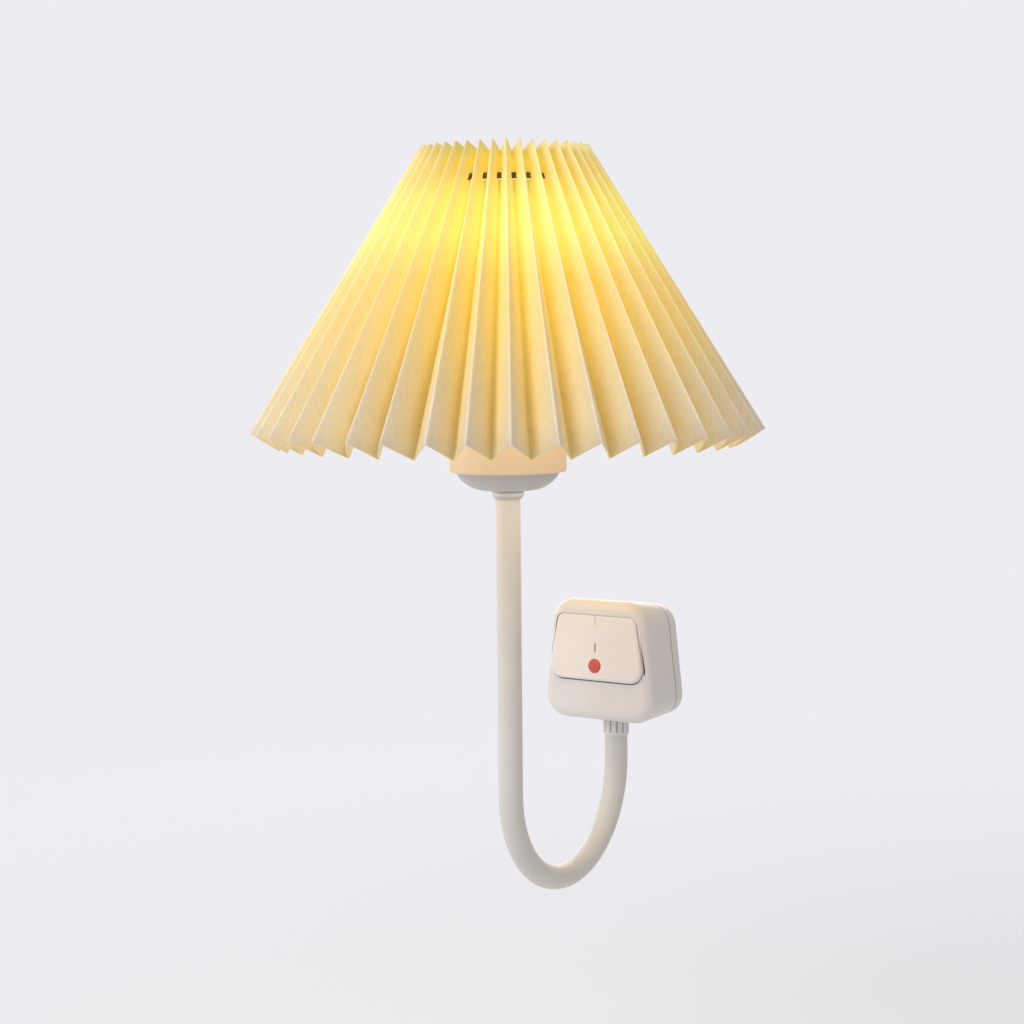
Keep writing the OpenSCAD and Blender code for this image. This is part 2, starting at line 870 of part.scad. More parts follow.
// Point of the neck's middle line at angle a round the bend
function bend_point(a) = [0, bend_y + bend_r * cos(a), bend_z - bend_r * sin(a)];

// Round solid that follows the bend from angle a to angle b
module bend(r, a, b) {
    translate([0, bend_y, bend_z])
        rotate([-90, 0, 90])
            rotate([0, 0, a])
                rotate_extrude(angle = b - a)
                    translate([bend_r, 0])
                        circle(r);
}

// Upright round solid on the outlet's side of the bend
module drop(r, z0, z1) {
    translate([0, -outlet_y, z0])
        cylinder(r = r, h = z1 - z0);
}

// Upright round solid on the lamp's side of the bend
module leg(r, z0, z1) {
    translate([0, lamp_y, z0])
        cylinder(r = r, h = z1 - z0);
}

// Ball at the end of a sleeve, and the hollow for it in the next one
module ball(p) {
    translate(p)
        sphere(ball_r);
}

module hollow(p) {
    translate(p)
        sphere(ball_r + clear);
}

swing_low_point = [0, -outlet_y, swing_low_z];
swing_high_point = [0, lamp_y, swing_high_z];
tilt_point = [0, lamp_y, tilt_z];
// Angle by which a bore overshoots a sleeve in the bend
bore_step = 12;

module neck_link_1() {
    color("Ivory")
        difference() {
            union() {
                drop(hose_r, swing_low_z + joint_gap, nut_z + tuck);
                ball(swing_low_point);
            }
            drop(bore_r, swing_low_z - hose_d, nut_z + tuck + cut);
        }
}

module neck_link_2() {
    color("Ivory")
        difference() {
            union() {
                drop(hose_r, bend_z, swing_low_z - joint_gap);
                bend(hose_r, 0, bend_joints[0] - joint_step);
                ball(bend_point(bend_joints[0]));
            }
            hollow(swing_low_point);
            drop(bore_r, bend_z, swing_low_z);
            bend(bore_r, 0, bend_joints[0] + bore_step);
        }
}

// Sleeve in the bend between joint i and the next joint
module bend_link(i) {
    color("Ivory")
        difference() {
            union() {
                bend(hose_r, bend_joints[i] + joint_step, bend_joints[i + 1] - joint_step);
                ball(bend_point(bend_joints[i + 1]));
            }
            hollow(bend_point(bend_joints[i]));
            bend(bore_r, bend_joints[i], bend_joints[i + 1] + bore_step);
        }
}

module neck_link_3() {
    bend_link(0);
}

module neck_link_4() {
    bend_link(1);
}

module neck_link_5() {
    color("Ivory")
        difference() {
            union() {
                bend(hose_r, 180, bend_joints[2] + joint_step);
                leg(hose_r, bend_z, swing_high_z - joint_gap);
                ball(swing_high_point);
            }
            hollow(bend_point(bend_joints[2]));
            bend(bore_r, 180, bend_joints[2]);
            leg(bore_r, bend_z, swing_high_z + hose_d);
        }
}

module neck_link_6() {
    color("Ivory")
        difference() {
            union() {
                leg(hose_r, swing_high_z + joint_gap, tilt_z - joint_gap);
                ball(tilt_point);
            }
            hollow(swing_high_point);
            leg(bore_r, swing_high_z, tilt_z + hose_d);
        }
}

module neck_link_7() {
    color("Ivory")
        difference() {
            leg(hose_r, tilt_z + joint_gap, collar_z + tuck);
            hollow(tilt_point);
            leg(bore_r, tilt_z, collar_z + tuck + cut);
        }
}

// Round solid along the whole neck between two heights
module neck_run(r, z_plug, z_lamp) {
    drop(r, bend_z, z_plug);
    bend(r, 0, 180);
    leg(r, bend_z, z_lamp);
}

// Bendable steel tube inside the sleeves
module neck_core() {
    color("DarkGray")
        difference() {
            neck_run(core_r, ferrule_low_top - 0.5, ferrule_top - 0.5);
            neck_run(core_bore / 2, ferrule_low_top + cut, ferrule_top + cut);
        }
}

// Two wires from the switch and the neutral blade to the lampholder
module lamp_wires() {
    r = wire_d / 2;
    low_z = ferrule_low_top + 1;
    high_z = insert_z - terminal_h - r;
    turn_z = post_low_z - post_r - r - 1.2;
    behind_y = base_back_y + tail_len + r + 1;
    ends = [
        [
            [tail_w / 2 + r, behind_y, turn_z],
            [tail_w / 2 + r + slip, base_back_y + r + slip, rocker_z - touch_drop]
        ],
        [
            [blade_places[1].x, behind_y, turn_z],
            [blade_places[1].x, -blade_in - r - slip, blade_places[1].y - blade_w / 2]
        ]
    ];
    color("SaddleBrown")
        for (i = [0, 1]) {
            side = 1 - 2 * i;
            translate([side * wire_x, 0, 0])
                neck_run(r, low_z, high_z);
            translate([side * wire_x, -outlet_y, low_z])
                sphere(r + wire_joint);
            wire(concat([[side * wire_x, -outlet_y, low_z]], ends[i]), r);
            translate([side * wire_x, lamp_y, high_z])
                sphere(r + wire_joint);
            wire(
                [[side * wire_x, lamp_y, high_z], [side * terminal_x, lamp_y, high_z]],
                r
            );
        }
}

// Threaded tube that fixes the lampholder on the neck
module upper_ferrule() {
    color("Silver")
        translate([0, lamp_y, 0])
            ring(ferrule_r, bore_r, collar_z + tuck + slip, ferrule_top);
}

module upper_locknut() {
    color("Silver")
        translate([0, lamp_y, 0])
            locknut(floor_z);
}

// Stepped collar between the neck and the dish
module collar() {
    lip_h = 1.3;
    groove_h = 0.4;
    lip_r = collar_d / 2 - 0.4;
    groove_r = collar_d / 2 - 0.8;
    color("Silver")
        translate([0, lamp_y, 0])
            difference() {
                union() {
                    translate([0, 0, collar_z])
                        cylinder(r = lip_r, h = lip_h);
                    translate([0, 0, collar_z + lip_h])
                        cylinder(r = groove_r, h = groove_h);
                    translate([0, 0, collar_z + lip_h + groove_h])
                        cylinder(r = collar_d / 2, h = collar_h - lip_h - groove_h);
                }
                translate([0, 0, collar_z - cut])
                    cylinder(r = hose_r + slip, h = tuck + cut);
                translate([0, 0, collar_z])
                    cylinder(r = ferrule_r + slip, h = collar_h + cut);
            }
}

// Outline of the dish, a bowl between a flat base and its rim
function bowl_points(rim_r, base_r, h) =
    let (power = 1.6)
    [for (i = [0:curve_steps])
        let (deep = sin(90 * i / curve_steps))
        [base_r + (rim_r - base_r) * pow(1 - pow(deep, power), 1 / power), h * (1 - deep)]];

// Dish-shaped cap under the lampholder
module dish_cap() {
    base_r = dish_base_d / 2;
    color("Silver")
        translate([0, lamp_y, dish_z])
            difference() {
                rotate_extrude()
                    polygon(concat([[0, 0], [0, dish_h]], bowl_points(dish_d / 2, base_r, dish_h)));
                translate([0, 0, dish_wall])
                    rotate_extrude()
                        polygon(concat(
                            [[0, 0], [0, dish_h - dish_wall + cut], [dish_d / 2 - dish_wall, dish_h - dish_wall + cut]],
                            bowl_points(dish_d / 2 - dish_wall, base_r - 1, dish_h - dish_wall)
                        ));
                translate([0, 0, -cut])
                    cylinder(r = ferrule_r + slip, h = dish_wall + 2 * cut);
            }
}

// Lampholder shell with a shoulder and a threaded neck for the shade ring
module holder_shell() {
    edge = 0.8;
    r = holder_d / 2;
    neck_r = thread_d / 2;
    roof = 2;
    color("PeachPuff")
        translate([0, lamp_y, 0])
            rotate_extrude()
                polygon([
                    [ferrule_r + slip, holder_z],
                    [r - edge, holder_z],
                    [r, holder_z + edge],
                    [r, shoulder_z - edge],
                    [r - edge, shoulder_z],
                    [neck_r, shoulder_z],
                    [neck_r, thread_top_z],
                    [neck_r - holder_wall, thread_top_z],
                    [neck_r - holder_wall, shoulder_z - roof],
                    [r - holder_wall, shoulder_z - roof],
                    [r - holder_wall, floor_z],
                    [ferrule_r + slip, floor_z]
                ]);
}

// Ceramic insert that stands in the shell and carries the contacts
module holder_insert() {
    feet = 3;
    rim_z = thread_top_z - 1;
    color("Snow")
        translate([0, lamp_y, 0])
            difference() {
                union() {
                    translate([0, 0, insert_z])
                        cylinder(r = insert_r, h = rim_z - insert_z);
                    for (i = [0:feet - 1])
                        rotate([0, 0, 90 + i * 360 / feet])
                            translate([insert_r - insert_foot_r - 1, 0, floor_z])
                                cylinder(r = insert_foot_r, h = insert_z - floor_z + 1);
                }
                translate([0, 0, insert_top_z])
                    cylinder(r = shell_r + shell_wall + slip, h = thread_top_z);
            }
}

// Terminals under the insert
module holder_terminals() {
    half = 2;
    color("Goldenrod")
        for (side = [-1, 1])
            translate([side * terminal_x, lamp_y, 0])
                block([-half, -half, insert_z - terminal_h], [half, half, insert_z]);
}

// Metal screw shell that takes the bulb's cap
module screw_shell() {
    color("Goldenrod")
        translate([0, lamp_y, 0])
            ring(shell_r + shell_wall, shell_r, insert_top_z, cap_top_z - 1);
}

// Contact in the middle of the insert
module centre_contact() {
    color("Goldenrod")
        translate([0, lamp_y, insert_top_z])
            cylinder(r1 = contact_r, r2 = contact_r - 1, h = contact_h);
}

// Ring nut that clamps the shade's carrier on the shoulder
module shade_ring_nut() {
    grips = 24;
    grip_r = 0.8;
    low_z = gallery_z + gallery_t;
    color("White")
        translate([0, lamp_y, 0])
            difference() {
                ring(ring_nut_d / 2, thread_d / 2 + slip, low_z, low_z + ring_nut_h);
                for (i = [0:grips - 1])
                    rotate([0, 0, i * 360 / grips])
                        translate([ring_nut_d / 2 + 0.3, 0, low_z + 1])
                            cylinder(r = grip_r, h = ring_nut_h);
            }
}

// Wire carrier: a gallery on the shoulder, three legs and the ring that holds the shade
module shade_carrier() {
    color("DarkSlateGray")
        translate([0, lamp_y, 0]) {
            ring(gallery_r, thread_d / 2 + slip, gallery_z, gallery_z + gallery_t);
            for (i = [0:legs - 1])
                rotate([0, 0, fold_start + 2 * fold_step * round((i + 0.25) * pleats / legs)])
                    wire([[leg_low.x, 0, leg_low.y], [leg_high.x, 0, leg_high.y]], leg_wire_d / 2);
            translate([0, 0, ring_z])
                rotate_extrude()
                    translate([ring_r, 0])
                        circle(ring_wire_d / 2);
        }
}

// Depth through the sheet along the cone's normal, at a fold with this half step and pleat depth
function through(half_step, depth) = sheet_t * sqrt(1 + pow(depth / half_step, 2)) / 2;

// Points of the sheet at fold k: up the outside, then down the inside
function fold_points(k) =
    let (a = fold_start + k * fold_step)
    let (low = k % 2 == 0 ? outer_low : inner_low)
    let (high = k % 2 == 0 ? outer_high : inner_high)
    let (thick_low = through(PI * shade_d / (2 * pleats), pleat_depth) * shade_out)
    let (thick_high = through(PI * shade_top_d / (2 * pleats), pleat_top_depth) * shade_out)
    [for (side = [1, -1])
        for (row = [0:sheet_rows])
            let (rise = side > 0 ? row / sheet_rows : 1 - row / sheet_rows)
            let (middle = low + (high - low) * rise)
            let (p = middle + side * (thick_low + (thick_high - thick_low) * rise))
            [p.x * cos(a), p.x * sin(a), p.y]];

// Two triangles of a panel, split from the low outer fold to the high inner fold on both sides of the sheet
function panel_faces(a, b, i, j, rising) =
    rising ? [[a + i, a + j, b + j], [a + i, b + j, b + i]] : [[a + i, a + j, b + i], [a + j, b + j, b + i]];

// Pleated sheet, with its edges cut square to the folds
module pleated_sheet() {
    folds = 2 * pleats;
    n = 2 * (sheet_rows + 1);
    points = [for (k = [0:folds - 1]) each fold_points(k)];
    faces = [for (k = [0:folds - 1])
        for (i = [0:n - 1])
            let (outside = i < sheet_rows)
            let (rim = i == sheet_rows || i == n - 1)
            each panel_faces(n * k, n * ((k + 1) % folds), i, (i + 1) % n,
                rim || outside == (k % 2 == 0))];
    polyhedron(points, faces);
}

// Pleated shade with a notch in each inner fold for the carrier's ring
module shade() {
    notch_top = ring_z + ring_wire_d / 2 + slip;
    color("Khaki")
        translate([0, lamp_y, 0])
            difference() {
                pleated_sheet();
                ring(inner_at_ring + notch_depth, inner_at_ring - 6, notch_top - notch_h, notch_top);
            }
}

// Screw cap of the bulb
module bulb_cap() {
    color("LightGray")
        translate([0, lamp_y, 0])
            difference() {
                translate([0, 0, cap_z])
                    cylinder(r = cap_d / 2, h = cap_h);
                translate([0, 0, cap_z + cap_wall])
                    cylinder(r = cap_d / 2 - cap_wall, h = cap_h);
            }
}

// Contact button under the cap
module bulb_contact() {
    button_h = 0.8;
    color("DimGray")
        translate([0, lamp_y, 0]) {
            translate([0, 0, tip_z])
                cylinder(r = contact_r, h = button_h);
            translate([0, 0, tip_z + button_h])
                cylinder(r1 = contact_r + 1, r2 = cap_d / 2 - 2, h = tip_h - button_h);
        }
}

// Outline of the bulb's body from its neck to the dome's edge, drawn in by inset
function body_points(inset) =
    [for (i = [0:curve_steps])
        let (rise = i / curve_steps)
        let (swell = (1 - cos(180 * rise)) / 2)
        [body_neck_r + (bulb_d / 2 - body_neck_r) * (swell + rise) / 2 - inset, thread_top_z + body_h * rise]];

// Opaque body of the bulb
module bulb_body() {
    seat_r = cap_d / 2 - cap_wall - slip;
    color("White")
        translate([0, lamp_y, 0])
            difference() {
                union() {
                    rotate_extrude()
                        polygon(concat([[0, body_top_z], [0, thread_top_z]], body_points(0)));
                    translate([0, 0, cap_top_z])
                        cylinder(r = body_neck_r, h = thread_top_z - cap_top_z);
                    translate([0, 0, cap_top_z - 8])
                        cylinder(r = seat_r, h = 8 + thread_top_z - cap_top_z);
                }
                rotate_extrude()
                    polygon(concat([[0, body_top_z + cut], [0, thread_top_z]], body_points(bulb_wall),
                        [[bulb_d / 2 - bulb_wall, body_top_z + cut]]));
                translate([0, 0, cap_top_z - 8 - cut])
                    cylinder(r = seat_r - bulb_wall, h = 8 + cut + thread_top_z - cap_top_z + cut);
            }
}

// Board with the light-emitting chips
module led_board() {
    chips = 8;
    chip = 2.8;
    chip_h = 0.8;
    color("Wheat")
        translate([0, lamp_y, body_top_z - board_t]) {
            cylinder(r = board_r, h = board_t);
            for (i = [0:chips - 1])
                rotate([0, 0, i * 360 / chips])
                    translate([board_r * 0.6, 0, 0])
                        block([-chip / 2, -chip / 2, board_t - 0.4], [chip / 2, chip / 2, board_t + chip_h]);
        }
}

// Outline of the frosted dome, drawn in by inset
function dome_points(inset) =
    [for (i = [0:curve_steps])
        let (a = 90 * i / curve_steps)
        [(bulb_d / 2 - inset) * cos(a), (dome_h - inset) * sin(a)]];

// Frosted dome of the bulb
module bulb_dome() {
    color("LightYellow")
        translate([0, lamp_y, body_top_z])
            difference() {
                rotate_extrude()
                    polygon(concat([[0, 0]], dome_points(0)));
                rotate_extrude()
                    polygon(concat([[0, -cut], [bulb_d / 2 - bulb_wall, -cut]], dome_points(bulb_wall)));
            }
}

front_housing();
back_cover();
live_blade();
neutral_blade();
earth_blade();
blade_carrier();
cover_screws();
switch_base();
switch_screws();
rocker();
indicator_lens();
indicator_led();
plunger();
plunger_spring();
seesaw_contact();
pivot_contact();
fixed_contact();
live_link();
outlet_nut();
lower_ferrule();
lower_locknut();
neck_link_1();
neck_link_2();
neck_link_3();
neck_link_4();
neck_link_5();
neck_link_6();
neck_link_7();
neck_core();
lamp_wires();
upper_ferrule();
upper_locknut();
collar();
dish_cap();
holder_shell();
holder_insert();
holder_terminals();
screw_shell();
centre_contact();
shade_ring_nut();
shade_carrier();
shade();
bulb_cap();
bulb_contact();
bulb_body();
led_board();
bulb_dome();
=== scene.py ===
"""Plug-in wall light with a rocker switch, a bendable neck and a lit pleated paper shade.

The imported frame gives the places. This script builds the pieces that show and dresses them.
Meshes are drawn in millimetres in the frame's axes and go to metres when a piece is finished.
"""

import logging
import math
import random
from collections.abc import Iterable, Sequence
from dataclasses import dataclass, field
from enum import Enum
from typing import ClassVar

import bmesh
import bpy
from bmesh.types import BMEdge, BMesh, BMFace, BMVert
from bpy.types import Material, Node, NodeSocket, NodeTree, Object, World
from mathutils import Matrix, Vector


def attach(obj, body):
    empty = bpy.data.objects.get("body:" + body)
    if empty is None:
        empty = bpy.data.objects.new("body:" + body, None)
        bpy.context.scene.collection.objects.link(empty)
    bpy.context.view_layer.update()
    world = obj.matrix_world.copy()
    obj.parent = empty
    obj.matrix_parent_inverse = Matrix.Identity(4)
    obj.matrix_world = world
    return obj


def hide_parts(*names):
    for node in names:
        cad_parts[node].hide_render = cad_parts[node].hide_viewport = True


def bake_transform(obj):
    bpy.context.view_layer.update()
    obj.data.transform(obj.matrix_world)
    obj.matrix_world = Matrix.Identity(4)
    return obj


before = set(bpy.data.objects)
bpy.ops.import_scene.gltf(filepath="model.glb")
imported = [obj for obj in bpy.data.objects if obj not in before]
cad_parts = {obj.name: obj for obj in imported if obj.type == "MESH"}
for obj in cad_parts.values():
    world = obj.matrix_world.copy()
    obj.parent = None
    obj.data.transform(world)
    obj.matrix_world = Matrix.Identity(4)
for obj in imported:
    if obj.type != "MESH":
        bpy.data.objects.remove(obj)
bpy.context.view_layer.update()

LOG = logging.getLogger("wall_light")
MM = 0.001
UP = Vector((0.0, 0.0, 1.0))
DOWN = Vector((0.0, 0.0, -1.0))

# How finely shapes are drawn, with lengths in mm and angles in degrees
CUT = 1.0
MERGE = 0.002
CARVE_MERGE = 0.001
ON_AXIS = 1e-6
ROUND_STEPS = 6
CORNER_STEPS = 10
ROD_STEPS = 48
LATHE_STEPS = 96
SOFT_STEPS = 2
SOFT_FROM_DEG = 40.0
ON_SKIN = 0.1
MOSTLY = 0.7

# Places that several sub-assemblies share, in mm
OUTLET_Y = -17.0
BEND_R = 43.0
LAMP_Y = OUTLET_Y - 2 * BEND_R
SEAM_Y = -8.0
FRONT_Y = -34.0
PIVOT = Vector((0.0, -28.0, 4.45))
FERRULE_R = 4.8

# Layers of the shade's mesh
FOLD = "fold"
CREASE = "crease"
NOTCH = "notch"


class Body(Enum):
    """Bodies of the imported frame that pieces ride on."""

    PLUG = "plug"
    ROCKER = "rocker"
    NECK_A = "neck_a"
    NECK_B = "neck_b"
    NECK_C = "neck_c"
    NECK_D = "neck_d"
    NECK_E = "neck_e"
    HEAD = "head"
    BULB = "bulb"


class Slot(Enum):
    """Names of material slots."""

    PLUG = "plug_white"
    ROCKER = "rocker_white"
    LENS = "lens_red"
    SLEEVE = "sleeve_white"
    HOLDER = "holder_white"
    SHADE = "shade_paper"
    DOME = "dome_glow"
    BRASS = "brass"
    ALUMINIUM = "aluminium"


class Axis(Enum):
    """Direction in which a metal was rolled or turned, as the scale that draws streaks along it."""

    X = (1.0, 12.0, 12.0)
    Y = (12.0, 1.0, 12.0)
    Z = (12.0, 12.0, 1.0)


class Run(Enum):
    """Kinds of run that the neck's sleeve is made of."""

    STRAIGHT = "straight"
    TURN = "turn"


def to_linear(code: str) -> tuple[float, float, float, float]:
    """Turns an sRGB hex value to a linear colour, by the curve of that standard.

    Args:
        code: hex value such as "#E8E2D8".

    Returns:
        Red, green, blue and alpha.
    """
    parts = [int(code[i:i + 2], 16) / 255 for i in (1, 3, 5)]
    linear = [c / 12.92 if c <= 0.04045 else ((c + 0.055) / 1.055) ** 2.4 for c in parts]
    return (linear[0], linear[1], linear[2], 1.0)


def per_metre(size_mm: float) -> float:
    """Gives the scale of a noise whose grains are this many millimetres across."""
    return 1.0 / (size_mm * MM)


def bare_tree(owner: Material | World) -> NodeTree:
    """Empties the node tree of a material or of the world.

    Args:
        owner: what the tree belongs to.

    Returns:
        The empty tree.
    """
    owner.use_nodes = True
    owner.node_tree.nodes.clear()
    return owner.node_tree


def add_node(
    tree: NodeTree, kind: str, values: dict | None = None, links: dict | None = None
) -> Node:
    """Adds a node with its settings and links.

    Args:
        tree: node tree that gets the node.
        kind: Blender's name of the node's type.
        values: settings and input values by name or index; "stops" gives a ramp's places and colours.
        links: sockets that feed the inputs, by the input's name or index.

    Returns:
        The new node.
    """
    node = tree.nodes.new(kind)
    for key, value in (values or {}).items():
        if key == "stops":
            elements = node.color_ramp.elements
            while len(elements) > 1:
                elements.remove(elements[-1])
            for i, (place, colour) in enumerate(value):
                element = elements[0] if i == 0 else elements.new(place)
                element.position = place
                element.color = colour
        elif isinstance(key, str) and hasattr(node, key):
            setattr(node, key, value)
        else:
            node.inputs[key].default_value = value
    for key, socket in (links or {}).items():
        tree.links.new(socket, node.inputs[key])
    return node


@dataclass(frozen=True)
class Finish:
    """A surface, named for the real material and how it was made."""

    name: str
    colour: str
    casts_light: ClassVar[bool] = True

    def material(self) -> Material:
        """Makes the material at its first use, and finds it again later.

        Returns:
            The material.
        """
        known = bpy.data.materials.get(self.name)
        if known:
            return known
        made = bpy.data.materials.new(self.name)
        made.cycles.emission_sampling = "AUTO" if self.casts_light else "NONE"
        tree = bare_tree(made)
        shader = add_node(tree, "ShaderNodeBsdfPrincipled", {"Base Color": to_linear(self.colour)})
        add_node(tree, "ShaderNodeOutputMaterial", links={"Surface": shader.outputs[0]})
        place = add_node(tree, "ShaderNodeTexCoord").outputs["Object"]
        self.dress(tree, shader, place)
        return made

    def dress(self, tree: NodeTree, shader: Node, place: NodeSocket) -> None:
        """Adds the finish's own nodes."""
        raise NotImplementedError


@dataclass(frozen=True)
class Moulded(Finish):
    """Moulded plastic: even colour, faint flow tone, a fine skin and soft handling marks in the gloss.

    The real skin is too fine to show, so it is drawn coarser, at 0.5 to 0.7 mm.
    """

    flow: str
    roughness: float
    spread: float = 0.07
    skin_mm: float = 0.7
    skin_depth_mm: float = 0.006
    coat: float = 0.0
    coat_roughness: float = 0.12
    ior: float = 1.53
    flow_mm: float = 22.0
    mark_mm: float = 7.0
    mark_span: tuple[float, float] = (0.2, 0.8)

    def dress(self, tree: NodeTree, shader: Node, place: NodeSocket) -> None:
        """Adds flow tone, handling marks and the skin.

        Args:
            tree: the material's node tree.
            shader: its shader.
            place: its Object coordinates.
        """
        shader.inputs["IOR"].default_value = self.ior
        shader.inputs["Coat Weight"].default_value = self.coat
        shader.inputs["Coat Roughness"].default_value = self.coat_roughness
        flow = add_node(tree, "ShaderNodeTexNoise", {"Scale": per_metre(self.flow_mm), "Detail": 3.0},
                        {"Vector": place})
        tone = add_node(tree, "ShaderNodeMix",
                        {"data_type": "RGBA", 6: to_linear(self.colour), 7: to_linear(self.flow)},
                        {0: flow.outputs[0]})
        tree.links.new(tone.outputs[2], shader.inputs["Base Color"])
        marks = add_node(tree, "ShaderNodeTexNoise", {"Scale": per_metre(self.mark_mm), "Detail": 5.0},
                         {"Vector": place})
        gloss = add_node(tree, "ShaderNodeMapRange",
                         {"From Min": self.mark_span[0], "From Max": self.mark_span[1],
                          "To Min": self.roughness - self.spread, "To Max": self.roughness + self.spread},
                         {"Value": marks.outputs[0]})
        tree.links.new(gloss.outputs[0], shader.inputs["Roughness"])
        skin = add_node(tree, "ShaderNodeTexNoise", {"Scale": per_metre(self.skin_mm), "Detail": 2.0},
                        {"Vector": place})
        bump = add_node(tree, "ShaderNodeBump", {"Strength": 1.0, "Distance": self.skin_depth_mm * MM},
                        {"Height": skin.outputs[0]})
        tree.links.new(bump.outputs[0], shader.inputs["Normal"])


@dataclass(frozen=True)
class LitRim(Moulded):
    """Moulded plastic that takes up some light from a small window set in it."""

    lamp: str = "#FF5A48"
    middle_mm: tuple[float, float, float] = (0.0, -35.54, -3.04)
    reach_mm: tuple[float, float] = (2.9, 4.6)
    strength: float = 0.2
    casts_light: ClassVar[bool] = False

    def dress(self, tree: NodeTree, shader: Node, place: NodeSocket) -> None:
        """Adds the light around the window to the plastic.

        Args:
            tree: the material's node tree.
            shader: its shader.
            place: its Object coordinates.
        """
        super().dress(tree, shader, place)
        shader.inputs["Emission Color"].default_value = to_linear(self.lamp)
        away = add_node(tree, "ShaderNodeVectorMath",
                        {"operation": "DISTANCE", 1: tuple(v * MM for v in self.middle_mm)}, {0: place})
        level = add_node(tree, "ShaderNodeMapRange",
                         {"interpolation_type": "SMOOTHSTEP", "From Min": self.reach_mm[0] * MM,
                          "From Max": self.reach_mm[1] * MM, "To Min": self.strength, "To Max": 0.0},
                         {"Value": away.outputs["Value"]})
        tree.links.new(level.outputs[0], shader.inputs["Emission Strength"])


@dataclass(frozen=True)
class Metal(Finish):
    """Drawn, rolled or plated metal: long fine streaks along one direction, with duller patches.

    Real streaks are too fine to show, so they are drawn about a quarter of a millimetre wide.
    """

    dull: str
    roughness: float
    along: Axis
    spread: tuple[float, float] = (0.1, 0.12)
    streak_mm: float = 3.0
    streak_depth_mm: float = 0.01
    streak_bump: float = 0.6
    streak_span: tuple[float, float] = (0.25, 0.75)
    patch_mm: float = 9.0

    def dress(self, tree: NodeTree, shader: Node, place: NodeSocket) -> None:
        """Adds streaks and patches.

        Args:
            tree: the material's node tree.
            shader: its shader.
            place: its Object coordinates.
        """
        shader.inputs["Metallic"].default_value = 1.0
        drawn = add_node(tree, "ShaderNodeMapping", {"Scale": self.along.value}, {"Vector": place})
        streaks = add_node(tree, "ShaderNodeTexNoise", {"Scale": per_metre(self.streak_mm), "Detail": 4.0},
                           {"Vector": drawn.outputs[0]})
        patches = add_node(tree, "ShaderNodeTexNoise", {"Scale": per_metre(self.patch_mm), "Detail": 3.0},
                           {"Vector": place})
        tone = add_node(tree, "ShaderNodeMix",
                        {"data_type": "RGBA", 6: to_linear(self.colour), 7: to_linear(self.dull)},
                        {0: patches.outputs[0]})
        tree.links.new(tone.outputs[2], shader.inputs["Base Color"])
        gloss = add_node(tree, "ShaderNodeMapRange",
                         {"From Min": self.streak_span[0], "From Max": self.streak_span[1],
                          "To Min": self.roughness - self.spread[0],
                          "To Max": self.roughness + self.spread[1]}, {"Value": streaks.outputs[0]})
        tree.links.new(gloss.outputs[0], shader.inputs["Roughness"])
        bump = add_node(tree, "ShaderNodeBump",
                        {"Strength": self.streak_bump, "Distance": self.streak_depth_mm * MM},
                        {"Height": streaks.outputs[0]})
        tree.links.new(bump.outputs[0], shader.inputs["Normal"])


Glow = tuple[tuple[float, tuple[float, float, float]], ...]


